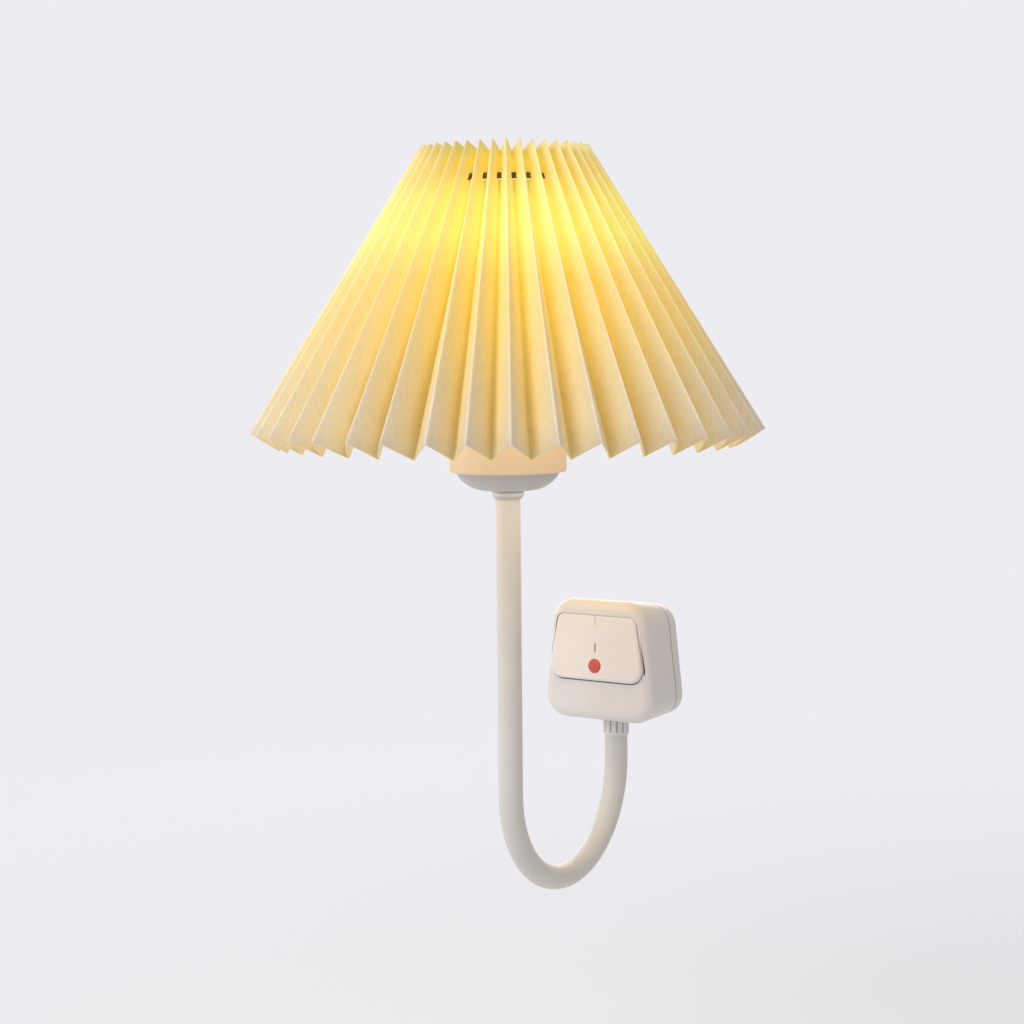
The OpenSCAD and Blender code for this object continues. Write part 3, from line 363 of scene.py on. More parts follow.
@dataclass(frozen=True)
class LitPaper(Finish):
    """Pleated paper lit from inside: a bright band beside the bulb, cream below, amber above, with fibres.

    Real fibres are too fine to show, so they are drawn 0.9 mm wide.
    """

    valley_painted_shade: str
    ridge_glow: Glow
    valley_glow: Glow
    ridge_highlight: str = "#F6EBCC"
    ridge_highlight_from: float = 0.93
    ridge_highlight_share: float = 0.6
    low_z_mm: float = 96.0
    high_z_mm: float = 216.0
    roughness: float = 0.78
    ior: float = 1.45
    specular: float = 0.3
    fibre_mm: float = 0.9
    fibre_depth_mm: float = 0.05
    fibre_run: tuple[float, float, float] = (1.0, 1.0, 0.07)
    fibre_fray: float = 0.62
    fibre_span: tuple[float, float] = (0.3, 0.7)
    fibre_tone: tuple[float, float] = (0.94, 1.04)
    fibre_light: tuple[float, float] = (0.94, 1.05)
    cloud_mm: float = 16.0
    cloud_lift_mm: float = 5.0
    casts_light: ClassVar[bool] = False

    def dress(self, tree: NodeTree, shader: Node, place: NodeSocket) -> None:
        """Adds the folds' tone, darker in the valleys as painted shade, a painted highlight along the ridges,
        fibres and the light that comes through.

        Args:
            tree: the material's node tree.
            shader: its shader.
            place: its Object coordinates.
        """
        shader.inputs["Roughness"].default_value = self.roughness
        shader.inputs["IOR"].default_value = self.ior
        shader.inputs["Specular IOR Level"].default_value = self.specular
        thin, thick = self.fibre_span
        fold = add_node(tree, "ShaderNodeAttribute", {"attribute_name": FOLD})
        run = add_node(tree, "ShaderNodeMapping", {"Scale": self.fibre_run}, {"Vector": place})
        fibres = add_node(tree, "ShaderNodeTexNoise",
                          {"Scale": per_metre(self.fibre_mm), "Detail": 4.0, "Roughness": self.fibre_fray},
                          {"Vector": run.outputs[0]})
        clouds = add_node(tree, "ShaderNodeTexNoise", {"Scale": per_metre(self.cloud_mm), "Detail": 3.0},
                          {"Vector": place})
        # The valleys take a darker colour, which paints the shade that falls between the pleats
        tone = add_node(tree, "ShaderNodeMix",
                        {"data_type": "RGBA", 6: to_linear(self.valley_painted_shade), 7: to_linear(self.colour)},
                        {0: fold.outputs["Fac"]})
        thread = add_node(tree, "ShaderNodeMapRange",
                          {"From Min": thin, "From Max": thick, "To Min": self.fibre_tone[0],
                           "To Max": self.fibre_tone[1]}, {"Value": fibres.outputs[0]})
        paper = add_node(tree, "ShaderNodeVectorMath", {"operation": "SCALE"},
                         {0: tone.outputs[2], "Scale": thread.outputs[0]})
        # A paler colour along the outer folds paints a highlight on the ridges
        edge = add_node(tree, "ShaderNodeMapRange",
                        {"From Min": self.ridge_highlight_from, "From Max": 1.0, "To Min": 0.0,
                         "To Max": self.ridge_highlight_share}, {"Value": fold.outputs["Fac"]})
        ridge_highlighted = add_node(tree, "ShaderNodeMix", {"data_type": "RGBA", 7: to_linear(self.ridge_highlight)},
                           {0: edge.outputs[0], 6: paper.outputs[0]})
        tree.links.new(ridge_highlighted.outputs[2], shader.inputs["Base Color"])
        parts = add_node(tree, "ShaderNodeSeparateXYZ", links={0: place})
        wander = add_node(tree, "ShaderNodeMath",
                          {"operation": "MULTIPLY_ADD", 1: self.cloud_lift_mm * MM,
                           2: -self.cloud_lift_mm / 2 * MM}, {0: clouds.outputs[0]})
        height = add_node(tree, "ShaderNodeMath", {"operation": "ADD"},
                          {0: parts.outputs["Z"], 1: wander.outputs[0]})
        rise = add_node(tree, "ShaderNodeMapRange",
                        {"From Min": self.low_z_mm * MM, "From Max": self.high_z_mm * MM},
                        {"Value": height.outputs[0]})
        ridge, deep = (
            add_node(tree, "ShaderNodeValToRGB", {"stops": [(p, (*c, 1.0)) for p, c in glow]},
                     {0: rise.outputs[0]})
            for glow in (self.ridge_glow, self.valley_glow)
        )
        light = add_node(tree, "ShaderNodeMix", {"data_type": "RGBA"},
                         {0: fold.outputs["Fac"], 6: deep.outputs[0], 7: ridge.outputs[0]})
        tree.links.new(light.outputs[2], shader.inputs["Emission Color"])
        through = add_node(tree, "ShaderNodeMapRange",
                           {"From Min": thin, "From Max": thick, "To Min": self.fibre_light[0],
                            "To Max": self.fibre_light[1]}, {"Value": fibres.outputs[0]})
        tree.links.new(through.outputs[0], shader.inputs["Emission Strength"])
        bump = add_node(tree, "ShaderNodeBump", {"Strength": 1.0, "Distance": self.fibre_depth_mm * MM},
                        {"Height": fibres.outputs[0]})
        tree.links.new(bump.outputs[0], shader.inputs["Normal"])


@dataclass(frozen=True)
class Lit(Finish):
    """Frosted or tinted plastic with a lamp behind it: an even light with a cloudy body."""

    lamp: str
    strength: float
    cloud_mm: float = 5.0
    cloud: float = 0.12
    cloud_span: tuple[float, float] = (0.3, 0.7)
    roughness: float = 0.35
    ior: float = 1.5

    def dress(self, tree: NodeTree, shader: Node, place: NodeSocket) -> None:
        """Adds the light and its clouds.

        Args:
            tree: the material's node tree.
            shader: its shader.
            place: its Object coordinates.
        """
        shader.inputs["Roughness"].default_value = self.roughness
        shader.inputs["IOR"].default_value = self.ior
        shader.inputs["Emission Color"].default_value = to_linear(self.lamp)
        clouds = add_node(tree, "ShaderNodeTexNoise", {"Scale": per_metre(self.cloud_mm), "Detail": 3.0},
                          {"Vector": place})
        level = add_node(tree, "ShaderNodeMapRange",
                         {"From Min": self.cloud_span[0], "From Max": self.cloud_span[1],
                          "To Min": self.strength * (1 - self.cloud),
                          "To Max": self.strength * (1 + self.cloud)}, {"Value": clouds.outputs[0]})
        tree.links.new(level.outputs[0], shader.inputs["Emission Strength"])


# Light that comes through the paper, by height from the shade's bottom (0) to its top (1),
# strongest at the bulb
RIDGE_GLOW: Glow = (
    (0.00, (0.07, 0.070, 0.150)),
    (0.20, (0.10, 0.085, 0.090)),
    (0.42, (0.24, 0.140, 0.005)),
    (0.55, (0.31, 0.175, 0.000)),
    (0.70, (0.37, 0.355, 0.000)),
    (0.80, (0.37, 0.325, 0.000)),
    (0.89, (0.29, 0.200, 0.000)),
    (1.00, (0.23, 0.190, 0.000)),
)
VALLEY_GLOW: Glow = (
    (0.00, (0.29, 0.215, 0.080)),
    (0.20, (0.36, 0.260, 0.070)),
    (0.42, (0.48, 0.350, 0.070)),
    (0.55, (0.56, 0.400, 0.065)),
    (0.70, (0.56, 0.555, 0.130)),
    (0.80, (0.55, 0.520, 0.105)),
    (0.89, (0.48, 0.370, 0.060)),
    (1.00, (0.41, 0.340, 0.040)),
)
INNER_GLOW: Glow = (
    (0.00, (0.24, 0.165, 0.070)),
    (0.40, (0.36, 0.260, 0.110)),
    (0.70, (0.60, 0.480, 0.190)),
    (1.00, (0.46, 0.300, 0.100)),
)

# ABS from a polished mould: the plug's white is a little warm, with a soft even sheen
PLUG_ABS = Moulded("abs_white_moulded", "#DFDCDB", flow="#D8D5D4", roughness=0.34)
# The same ABS, darkened to paint shade in the seam and in the grooves of the nut
PAINTED_SHADE_ABS = Moulded("abs_white_painted_groove_shade", "#A8A29C", flow="#A09A94", roughness=0.5)
# ABS with a finer polish: the rocker mirrors its surroundings a little and has a painted red glow around its
# red window
ROCKER_ABS = LitRim("abs_white_polished", "#E7E3E2", flow="#E1DDDB", roughness=0.32, spread=0.03,
                    skin_depth_mm=0.004)
# Ink pressed into the rocker's mark: grey and matte
MARK_INK = Moulded("ink_grey_filled", "#9B9793", flow="#8C8884", roughness=0.6)
# Polycarbonate tinted red over a small lamp: deep red with a faint glow and a gloss
RED_LENS = Lit("polycarbonate_red_lit", "#B24A3E", lamp="#F07060", strength=0.12, cloud_mm=2.0,
               roughness=0.12)
# PVC sleeve, extruded: satin grey-white with a dull sheen
SLEEVE_PVC = Moulded("pvc_sleeve_satin", "#D2D0CC", flow="#CAC8C4", roughness=0.46, skin_mm=0.6,
                     skin_depth_mm=0.008)
# ABS, satin: a cool light grey on the dish and collar, partly their own tone and partly painted shade on their
# downward faces
DISH_ABS = Moulded("abs_grey_satin_painted_shade", "#C2C0C0", flow="#B9B7B7", roughness=0.4)
# Heat-resistant PBT, moulded: almost matte, a warm white that is partly its own tone and partly painted warm
# light from the lit shade above
HOLDER_PBT = Moulded("pbt_warm_white_painted_glow", "#E9D9C2", flow="#E1CFB6", roughness=0.5, skin_depth_mm=0.01)
# Paper, pleated: cream with fibres along the folds, darker in the valleys as painted shade and with a painted
# highlight on the ridges, lit through outside and brighter inside
PAPER_OUT = LitPaper("paper_pleated_lit", "#DFCDA0", valley_painted_shade="#D2B878", ridge_glow=RIDGE_GLOW,
                     valley_glow=VALLEY_GLOW)
PAPER_IN = LitPaper("paper_pleated_inside", "#EBDDBB", valley_painted_shade="#E0CA98", ridge_glow=INNER_GLOW,
                    valley_glow=INNER_GLOW)
# Polycarbonate, frosted, over the chips: a warm even glow
DOME_FROST = Lit("polycarbonate_frosted_lit", "#FFF2D8", lamp="#FFDFA0", strength=1.5)
# PBT of the bulb, moulded: a clean white with a soft sheen
BULB_PBT = Moulded("pbt_bulb_white", "#F4F0E8", flow="#ECE7DE", roughness=0.42)
# Aluminium, rolled to a thread: pale grey with fine streaks
CAP_ALUMINIUM = Metal("aluminium_rolled_cap", "#D5D6D7", dull="#B8BABC", roughness=0.32, along=Axis.Z)
# Brass, stamped: yellow, with streaks along the blades
BLADE_BRASS = Metal("brass_stamped_blade", "#D3AE5E", dull="#B08B45", roughness=0.28, along=Axis.Y)
# Brass, pressed: yellow and a little duller than the blades
CONTACT_BRASS = Metal("brass_pressed_contact", "#CFA95A", dull="#A98442", roughness=0.34, along=Axis.X)
# Steel, zinc-plated: bluish grey with dull patches
ZINC_STEEL = Metal("steel_zinc_plated", "#C3C5C8", dull="#9FA2A6", roughness=0.33, along=Axis.Z)
# Steel wire, powder-coated: dark brown with a pebbled coat; the dark brown also paints the shade on the ring
# where it shows through the paper's notches against the light
COATED_WIRE = Moulded("steel_wire_coat_and_painted_shade", "#5E4A1E", flow="#4E3C16", roughness=0.42, skin_mm=0.5,
                      skin_depth_mm=0.02)
# Steatite, glazed: off-white under a glassy coat
STEATITE = Moulded("steatite_glazed", "#F1EDE4", flow="#E7E1D5", roughness=0.2, coat=0.3)
# Phenolic resin, moulded: pale stone grey, almost matte
PHENOLIC = Moulded("phenolic_moulded", "#D8D4CB", flow="#CBC6BC", roughness=0.5)
# Circuit board under white solder mask: even white with a low sheen
BOARD_WHITE = Moulded("board_solder_mask_white", "#EEEBDF", flow="#E4DFD0", roughness=0.45)
# PVC of the link wire, extruded: brick red, satin
WIRE_RED = Moulded("pvc_wire_red", "#A63A2E", flow="#963226", roughness=0.45)


def finish_piece(
    bm: BMesh,
    name: str,
    finishes: Sequence[Finish],
    body: Body | None,
    stands_for: Sequence[str] = (),
    sharp: float = 32.0,
) -> Object:
    """Turns a mesh drawn in millimetres to a piece in metres that rides on a body.

    Args:
        bm: the drawn mesh, which is freed.
        name: the piece's name.
        finishes: the piece's finishes, in the order of its material numbers.
        body: body that carries it, or None for a piece that rides on no body.
        stands_for: CAD nodes that the piece replaces.
        sharp: angle in degrees past which an edge stays sharp.

    Returns:
        The piece.
    """
    bmesh.ops.remove_doubles(bm, verts=bm.verts[:], dist=MERGE)
    bmesh.ops.recalc_face_normals(bm, faces=bm.faces[:])
    bmesh.ops.scale(bm, vec=(MM, MM, MM), verts=bm.verts[:])
    mesh = bpy.data.meshes.new(name)
    bm.to_mesh(mesh)
    bm.free()
    mesh.shade_smooth()
    mesh.set_sharp_from_angle(angle=math.radians(sharp))
    for finish in finishes:
        mesh.materials.append(finish.material())
    piece = bpy.data.objects.new(name, mesh)
    bpy.context.scene.collection.objects.link(piece)
    if body:
        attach(piece, body.value)
    if stands_for:
        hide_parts(*stands_for)
    LOG.info("%s: %d faces", name, len(mesh.polygons))
    return piece


def soften(piece: Object, width_mm: float) -> None:
    """Rounds a piece's sharp edges a little, as a mould does.

    Args:
        piece: the piece.
        width_mm: width of the rounding.
    """
    bevel = piece.modifiers.new("mould_edges", "BEVEL")
    bevel.width = width_mm * MM
    bevel.segments = SOFT_STEPS
    bevel.limit_method = "ANGLE"
    bevel.angle_limit = math.radians(SOFT_FROM_DEG)
    bevel.harden_normals = True


def carve(bm: BMesh, cutters: Iterable[BMesh]) -> BMesh:
    """Cuts shapes out of a solid.

    Args:
        bm: the solid, which is freed.
        cutters: the shapes to take away, which are freed.

    Returns:
        The carved solid.
    """
    objects = []
    for shape in (bm, *cutters):
        bmesh.ops.remove_doubles(shape, verts=shape.verts[:], dist=CARVE_MERGE)
        bmesh.ops.recalc_face_normals(shape, faces=shape.faces[:])
        mesh = bpy.data.meshes.new("carving")
        shape.to_mesh(mesh)
        shape.free()
        objects.append(bpy.data.objects.new("carving", mesh))
        bpy.context.scene.collection.objects.link(objects[-1])
    for cutter in objects[1:]:
        away = objects[0].modifiers.new("away", "BOOLEAN")
        away.operation = "DIFFERENCE"
        away.solver = "EXACT"
        away.object = cutter
    depsgraph = bpy.context.evaluated_depsgraph_get()
    carved = bmesh.new()
    carved.from_object(objects[0], depsgraph)
    for made in objects:
        bpy.data.meshes.remove(made.data)
    return carved


def moved(bm: BMesh, by: Sequence[float]) -> BMesh:
    """Moves a shape and gives it back."""
    bmesh.ops.translate(bm, vec=by, verts=bm.verts[:])
    return bm


def turned(bm: BMesh, turn: Matrix) -> BMesh:
    """Turns a shape about the frame's origin and gives it back."""
    bmesh.ops.rotate(bm, cent=(0, 0, 0), matrix=turn, verts=bm.verts[:])
    return bm


def on_lamp_axis(bm: BMesh) -> BMesh:
    """Moves a shape from the Z axis to the lamp's axis and gives it back."""
    return moved(bm, (0.0, LAMP_Y, 0.0))


def extruded(bm: BMesh, faces: Sequence[BMFace], by: Vector) -> list[BMFace]:
    """Extrudes faces and moves the new ones.

    Args:
        bm: the mesh.
        faces: faces to extrude.
        by: how far the new faces move.

    Returns:
        The new end faces.
    """
    made = bmesh.ops.extrude_face_region(bm, geom=list(faces))["geom"]
    bmesh.ops.translate(bm, vec=by, verts=[v for v in made if isinstance(v, BMVert)])
    return [f for f in made if isinstance(f, BMFace)]


def bevel_edges(bm: BMesh, edges: Iterable[BMEdge], offset: float, steps: int) -> None:
    """Rounds edges with an arc of this many steps."""
    bmesh.ops.bevel(bm, geom=list(edges), offset=offset, offset_type="OFFSET", affect="EDGES",
                    segments=steps, profile=0.5, material=-1, clamp_overlap=True)


def rounded_face(
    bm: BMesh, corners: Sequence[tuple[Vector, float]], steps: int = ROUND_STEPS
) -> BMFace:
    """Makes a flat face whose corners are rounded.

    Args:
        bm: the mesh, which is empty.
        corners: corner points, each with the length that its rounding takes off the edges.
        steps: steps of each rounding.

    Returns:
        The face.
    """
    points = [bm.verts.new(p) for p, _ in corners]
    bm.faces.new(points)
    for point, (_, length) in zip(points, corners):
        if length > 0:
            bmesh.ops.bevel(bm, geom=[point], offset=length, offset_type="OFFSET", affect="VERTICES",
                            segments=steps, profile=0.5, material=-1)
    return max(bm.faces, key=lambda f: f.calc_area())


def lathe(outline: Sequence[tuple[float, float, float]], steps: int = LATHE_STEPS) -> BMesh:
    """Turns an outline about the Z axis.

    Args:
        outline: radius, height and rounding of each corner of the closed outline.
        steps: steps of the turn.

    Returns:
        The turned shape.
    """
    bm = bmesh.new()
    face = rounded_face(bm, [(Vector((r, 0.0, z)), rounding) for r, z, rounding in outline])
    bmesh.ops.delete(bm, geom=[face], context="FACES_ONLY")
    on_axis = [e for e in bm.edges if all(v.co.x < ON_AXIS for v in e.verts)]
    bmesh.ops.delete(bm, geom=on_axis, context="EDGES")
    bmesh.ops.spin(bm, geom=bm.verts[:] + bm.edges[:], cent=(0, 0, 0), axis=(0, 0, 1), dvec=(0, 0, 0),
                   angle=2 * math.pi, steps=steps, use_merge=True, use_duplicate=False)
    return bm


def groove_step(vert: BMVert, steps: int, steps_per_groove: int) -> int:
    """Gives a vertex's step in its groove, on a shape that was turned in this many steps."""
    return round(math.atan2(vert.co.y, vert.co.x) / (2 * math.pi) * steps) % steps_per_groove


def block(low: Sequence[float], high: Sequence[float]) -> BMesh:
    """Makes a box.

    Args:
        low: its corner with the lowest coordinates.
        high: its corner with the highest coordinates.

    Returns:
        The box.
    """
    bm = bmesh.new()
    bmesh.ops.create_cube(bm, size=1.0)
    low, high = Vector(low), Vector(high)
    bmesh.ops.scale(bm, vec=high - low, verts=bm.verts[:])
    return moved(bm, (low + high) / 2)


def rod(r: float, start: Sequence[float], end: Sequence[float]) -> BMesh:
    """Makes a round bar.

    Args:
        r: its radius.
        start: middle of its first end.
        end: middle of its other end.

    Returns:
        The bar.
    """
    bm = bmesh.new()
    start, end = Vector(start), Vector(end)
    bmesh.ops.create_cone(bm, cap_ends=True, segments=ROD_STEPS, radius1=r, radius2=r,
                          depth=(end - start).length)
    turn = UP.rotation_difference(end - start).to_matrix()
    return moved(turned(bm, turn), (start + end) / 2)


def join(target: BMesh, *others: BMesh) -> None:
    """Adds other shapes to a shape.

    Args:
        target: the shape that gets them.
        others: the shapes to add, which are freed.
    """
    for other in others:
        mesh = bpy.data.meshes.new("joined")
        other.to_mesh(mesh)
        other.free()
        target.from_mesh(mesh)
        bpy.data.meshes.remove(mesh)


@dataclass(frozen=True)
class Outline:
    """Upright outline with round corners, narrower at its top."""

    low_w: float
    top_w: float
    low_z: float
    high_z: float
    low_r: float
    top_r: float

    def grown(self, by: float) -> "Outline":
        """Gives the outline that lies this far outside this one."""
        return Outline(self.low_w + 2 * by, self.top_w + 2 * by, self.low_z - by, self.high_z + by,
                       self.low_r + by, self.top_r + by)

    def corners(self, y: float, z: float = 0.0) -> list[tuple[Vector, float]]:
        """Gives the outline's sharp corners and the lengths of their roundings.

        Args:
            y: place of the outline.
            z: how far it is moved up.

        Returns:
            Corner points with rounding lengths, from the bottom right round to the bottom left.
        """
        low = Vector((self.low_w / 2 - self.low_r, self.low_z + self.low_r))
        top = Vector((self.top_w / 2 - self.top_r, self.high_z - self.top_r))
        side = top - low
        lean = math.atan2(side.y, side.x) - math.acos((self.low_r - self.top_r) / side.length)
        low_cut = self.low_r * math.tan(math.pi / 4 + lean / 2)
        top_cut = self.top_r * math.tan(math.pi / 4 - lean / 2)
        return [
            (Vector((low.x + low_cut, y, z + self.low_z)), low_cut),
            (Vector((top.x + top_cut, y, z + self.high_z)), top_cut),
            (Vector((-top.x - top_cut, y, z + self.high_z)), top_cut),
            (Vector((-low.x - low_cut, y, z + self.low_z)), low_cut),
        ]

    def slab(self, start_y: float, end_y: float, edge: float = 0.0, z: float = 0.0,
             start_edge: float = 0.0, flare: float = 1.0) -> BMesh:
        """Makes a slab of this outline whose end is rounded.

        Args:
            start_y: place of the flat start.
            end_y: place of the end.
            edge: radius of the end's rim.
            z: how far the slab is moved up.
            start_edge: size of the start's broken rim.
            flare: share by which the start is taller.

        Returns:
            The slab.
        """
        bm = bmesh.new()
        face = rounded_face(bm, self.corners(start_y, z), CORNER_STEPS)
        start = list(face.verts)
        end = extruded(bm, [face], Vector((0.0, end_y - start_y, 0.0)))
        if flare != 1.0:
            bmesh.ops.scale(bm, vec=(1.0, 1.0, flare), verts=start)
        if start_edge > 0:
            rim = {e for v in start for e in v.link_edges if e.other_vert(v) in start}
            bevel_edges(bm, rim, start_edge, 1)
        if edge > 0:
            bevel_edges(bm, {e for f in end for e in f.edges}, edge, ROUND_STEPS)
        return bm


ROCKER_OUTLINE = Outline(low_w=45.4, top_w=39.4, low_z=-14.25, high_z=14.25, low_r=6.0, top_r=3.5)


@dataclass
class PlugShell:
    """Front housing, back cover and blades of the plug."""

    outline: Outline = Outline(low_w=53.6, top_w=46.4, low_z=-27.5, high_z=25.2, low_r=10.0, top_r=10.0)
    fall: float = 4.5
    draw: float = 2.0
    lip_gap: float = 0.4
    lip_depth: float = 0.6
    well_gap: float = 0.95
    well_depth: float = 5.0
    hole_gap: float = 0.2
    hole_z: tuple[float, float] = (-30.0, -24.0)
    wall: float = 2.0
    edge: float = 4.5
    soft_edge: float = 0.25
    cover_edge: float = 2.0
    cover_back: float = 2.5
    seam: float = 0.4
    seam_tilt: tuple[float, float] = (0.4, 0.9)
    blade_w: float = 6.4
    blade_t: float = 1.5
    blade_len: float = 18.0
    earth_len: float = 21.0
    blade_in: float = 9.0
    blade_r: float = 7.92
    blade_lean: float = 30.0
    earth_r: float = 10.31
    slot_gap: float = 0.15
    tip_len: float = 1.6
    tip_share: float = 0.72
    blade_edge: float = 0.2
    screw_head_r: float = 2.6
    screw_gap: float = 0.2
    screw_depth: float = 2.4
    boss_out: float = 4.95
    boss_deg: tuple[float, float] = (-45.0, 40.0)

    def blade_places(self) -> dict[str, tuple[float, float, float, float]]:
        """Works out where the blades stand.

        Returns:
            Each blade's x, z, lean in degrees and length.
        """
        side, down = self.blade_r * math.cos(math.radians(self.blade_lean)), -self.blade_r / 2
        return {
            "live_blade": (side, down, -self.blade_lean, self.blade_len),
            "neutral_blade": (-side, down, self.blade_lean, self.blade_len),
            "earth_blade": (0.0, self.earth_r, 0.0, self.earth_len),
        }

    def depth_share(self, y: float) -> float:
        """Gives the share of the way from the front edge to the back face."""
        return min(1.0, max(0.0, (y - FRONT_Y - self.edge) / (-FRONT_Y - self.edge)))

    def drawn(self, bm: BMesh) -> BMesh:
        """Draws the sides of a shape in and lowers its top towards the back.

        Args:
            bm: the shape.

        Returns:
            The same shape.
        """
        low, high = self.outline.low_z, self.outline.high_z
        for vert in bm.verts:
            share = self.depth_share(vert.co.y)
            vert.co.x *= 1 - self.draw * share / (self.outline.low_w / 2)
            vert.co.z -= self.fall * share * (vert.co.z - low) / (high - low)
        return bm

    def boss_places(self) -> list[tuple[float, float]]:
        """Works out where the four cover screws stand.

        Returns:
            The x and z of each screw.
        """
        share, shape = self.depth_share(SEAM_Y), self.outline
        r, x_in, z_in = shape.low_r, self.draw * share, self.fall * share
        low = Vector((shape.low_w / 2 - x_in - r, shape.low_z + r))
        top = Vector((shape.top_w / 2 - x_in - r, shape.high_z - z_in - r))
        low, top = (
            corner + Vector((math.cos(turn), math.sin(turn))) * self.boss_out
            for corner, turn in zip((low, top), map(math.radians, self.boss_deg))
        )
        return [(low.x, low.y), (top.x, top.y), (-top.x, top.y), (-low.x, low.y)]

    def build(self) -> None:
        """Builds the plug's shell and blades."""
        self.housing()
        self.cover()
        for name, place in self.blade_places().items():
            self.blade(name, *place)

    def paint_seam_shade(self, bm: BMesh) -> BMesh:
        """Gives the broken rim at the seam the second finish, which paints shade into the seam.

        Args:
            bm: the shape.

        Returns:
            The same shape.
        """
        bm.normal_update()
        least, most = self.seam_tilt
        for face in bm.faces:
            near = abs(face.calc_center_median().y - SEAM_Y) < self.seam
            if near and least < abs(face.normal.y) < most:
                face.material_index = 1
        return bm

    def housing(self) -> None:
        """Builds the front housing with the rocker's opening and the neck's hole."""
        solid = self.drawn(self.outline.slab(SEAM_Y, FRONT_Y, self.edge, start_edge=self.seam))
        inside = self.outline.grown(-self.wall)
        hollow = self.drawn(inside.slab(SEAM_Y + CUT, FRONT_Y + self.wall, self.edge - self.wall))
        lip = ROCKER_OUTLINE.grown(self.lip_gap).slab(FRONT_Y + self.wall, FRONT_Y - CUT, z=PIVOT.z)
        well = ROCKER_OUTLINE.grown(self.well_gap).slab(FRONT_Y + self.well_depth, FRONT_Y + self.lip_depth,
                                                        z=PIVOT.z)
        hole = rod(FERRULE_R + self.hole_gap, *((0, OUTLET_Y, z) for z in self.hole_z))
        piece = finish_piece(self.paint_seam_shade(carve(solid, [hollow, lip, well, hole])), "plug_housing",
                             [PLUG_ABS, PAINTED_SHADE_ABS], Body.PLUG, ["front_housing"])
        soften(piece, self.soft_edge)

    def cover(self) -> None:
        """Builds the back cover with the blades' slots and the screws' wells."""
        solid = self.drawn(self.outline.slab(SEAM_Y, 0.0, self.cover_edge, start_edge=self.seam))
        away = [self.drawn(self.outline.grown(-self.wall).slab(SEAM_Y - CUT, -self.cover_back))]
        for x, z, lean, _ in self.blade_places().values():
            away.append(self.bar(x, z, lean, -self.cover_back - CUT, CUT, self.slot_gap))
        for x, z in self.boss_places():
            away.append(rod(self.screw_head_r + self.screw_gap, (x, -self.screw_depth, z), (x, CUT, z)))
        piece = finish_piece(self.paint_seam_shade(carve(solid, away)), "plug_back_cover", [PLUG_ABS, PAINTED_SHADE_ABS],
                             Body.PLUG, ["back_cover"])
        soften(piece, self.soft_edge)

    def bar(self, x: float, z: float, lean: float, start: float, end: float, grow: float) -> BMesh:
        """Makes a blade-shaped bar along Y.

        Args:
            x: place of its middle line.
            z: height of its middle line.
            lean: its turn about that line, in degrees.
            start: y of its first end.
            end: y of its other end.
            grow: how far its sides stand outside a blade's.

        Returns:
            The bar.
        """
        half_t, half_w = self.blade_t / 2 + grow, self.blade_w / 2 + grow
        bm = block((-half_t, start, -half_w), (half_t, end, half_w))
        return moved(turned(bm, Matrix.Rotation(math.radians(lean), 3, "Y")), (x, 0.0, z))

    def blade(self, name: str, x: float, z: float, lean: float, length: float) -> None:
        """Builds one blade with a tapered tip and broken edges.

        Args:
            name: the CAD node's name.
            x: place of the blade's middle line.
            z: height of that line.
            lean: its turn about that line, in degrees.
            length: how far it stands out.
        """
        bm = self.bar(x, z, lean, -self.blade_in, length - self.tip_len, 0.0)
        tip = max(bm.faces, key=lambda f: f.calc_center_median().y)
        end = extruded(bm, [tip], Vector((0.0, self.tip_len, 0.0)))
        about = Matrix.Translation(-Vector((x, length, z)))
        bmesh.ops.scale(bm, vec=(self.tip_share, 1.0, self.tip_share), space=about, verts=list(end[0].verts))
        along = [e for e in bm.edges if abs((e.verts[0].co - e.verts[1].co).normalized().y) > MOSTLY]
        bevel_edges(bm, along, self.blade_edge, SOFT_STEPS)
        finish_piece(bm, name + "_brass", [BLADE_BRASS], Body.PLUG, [name])


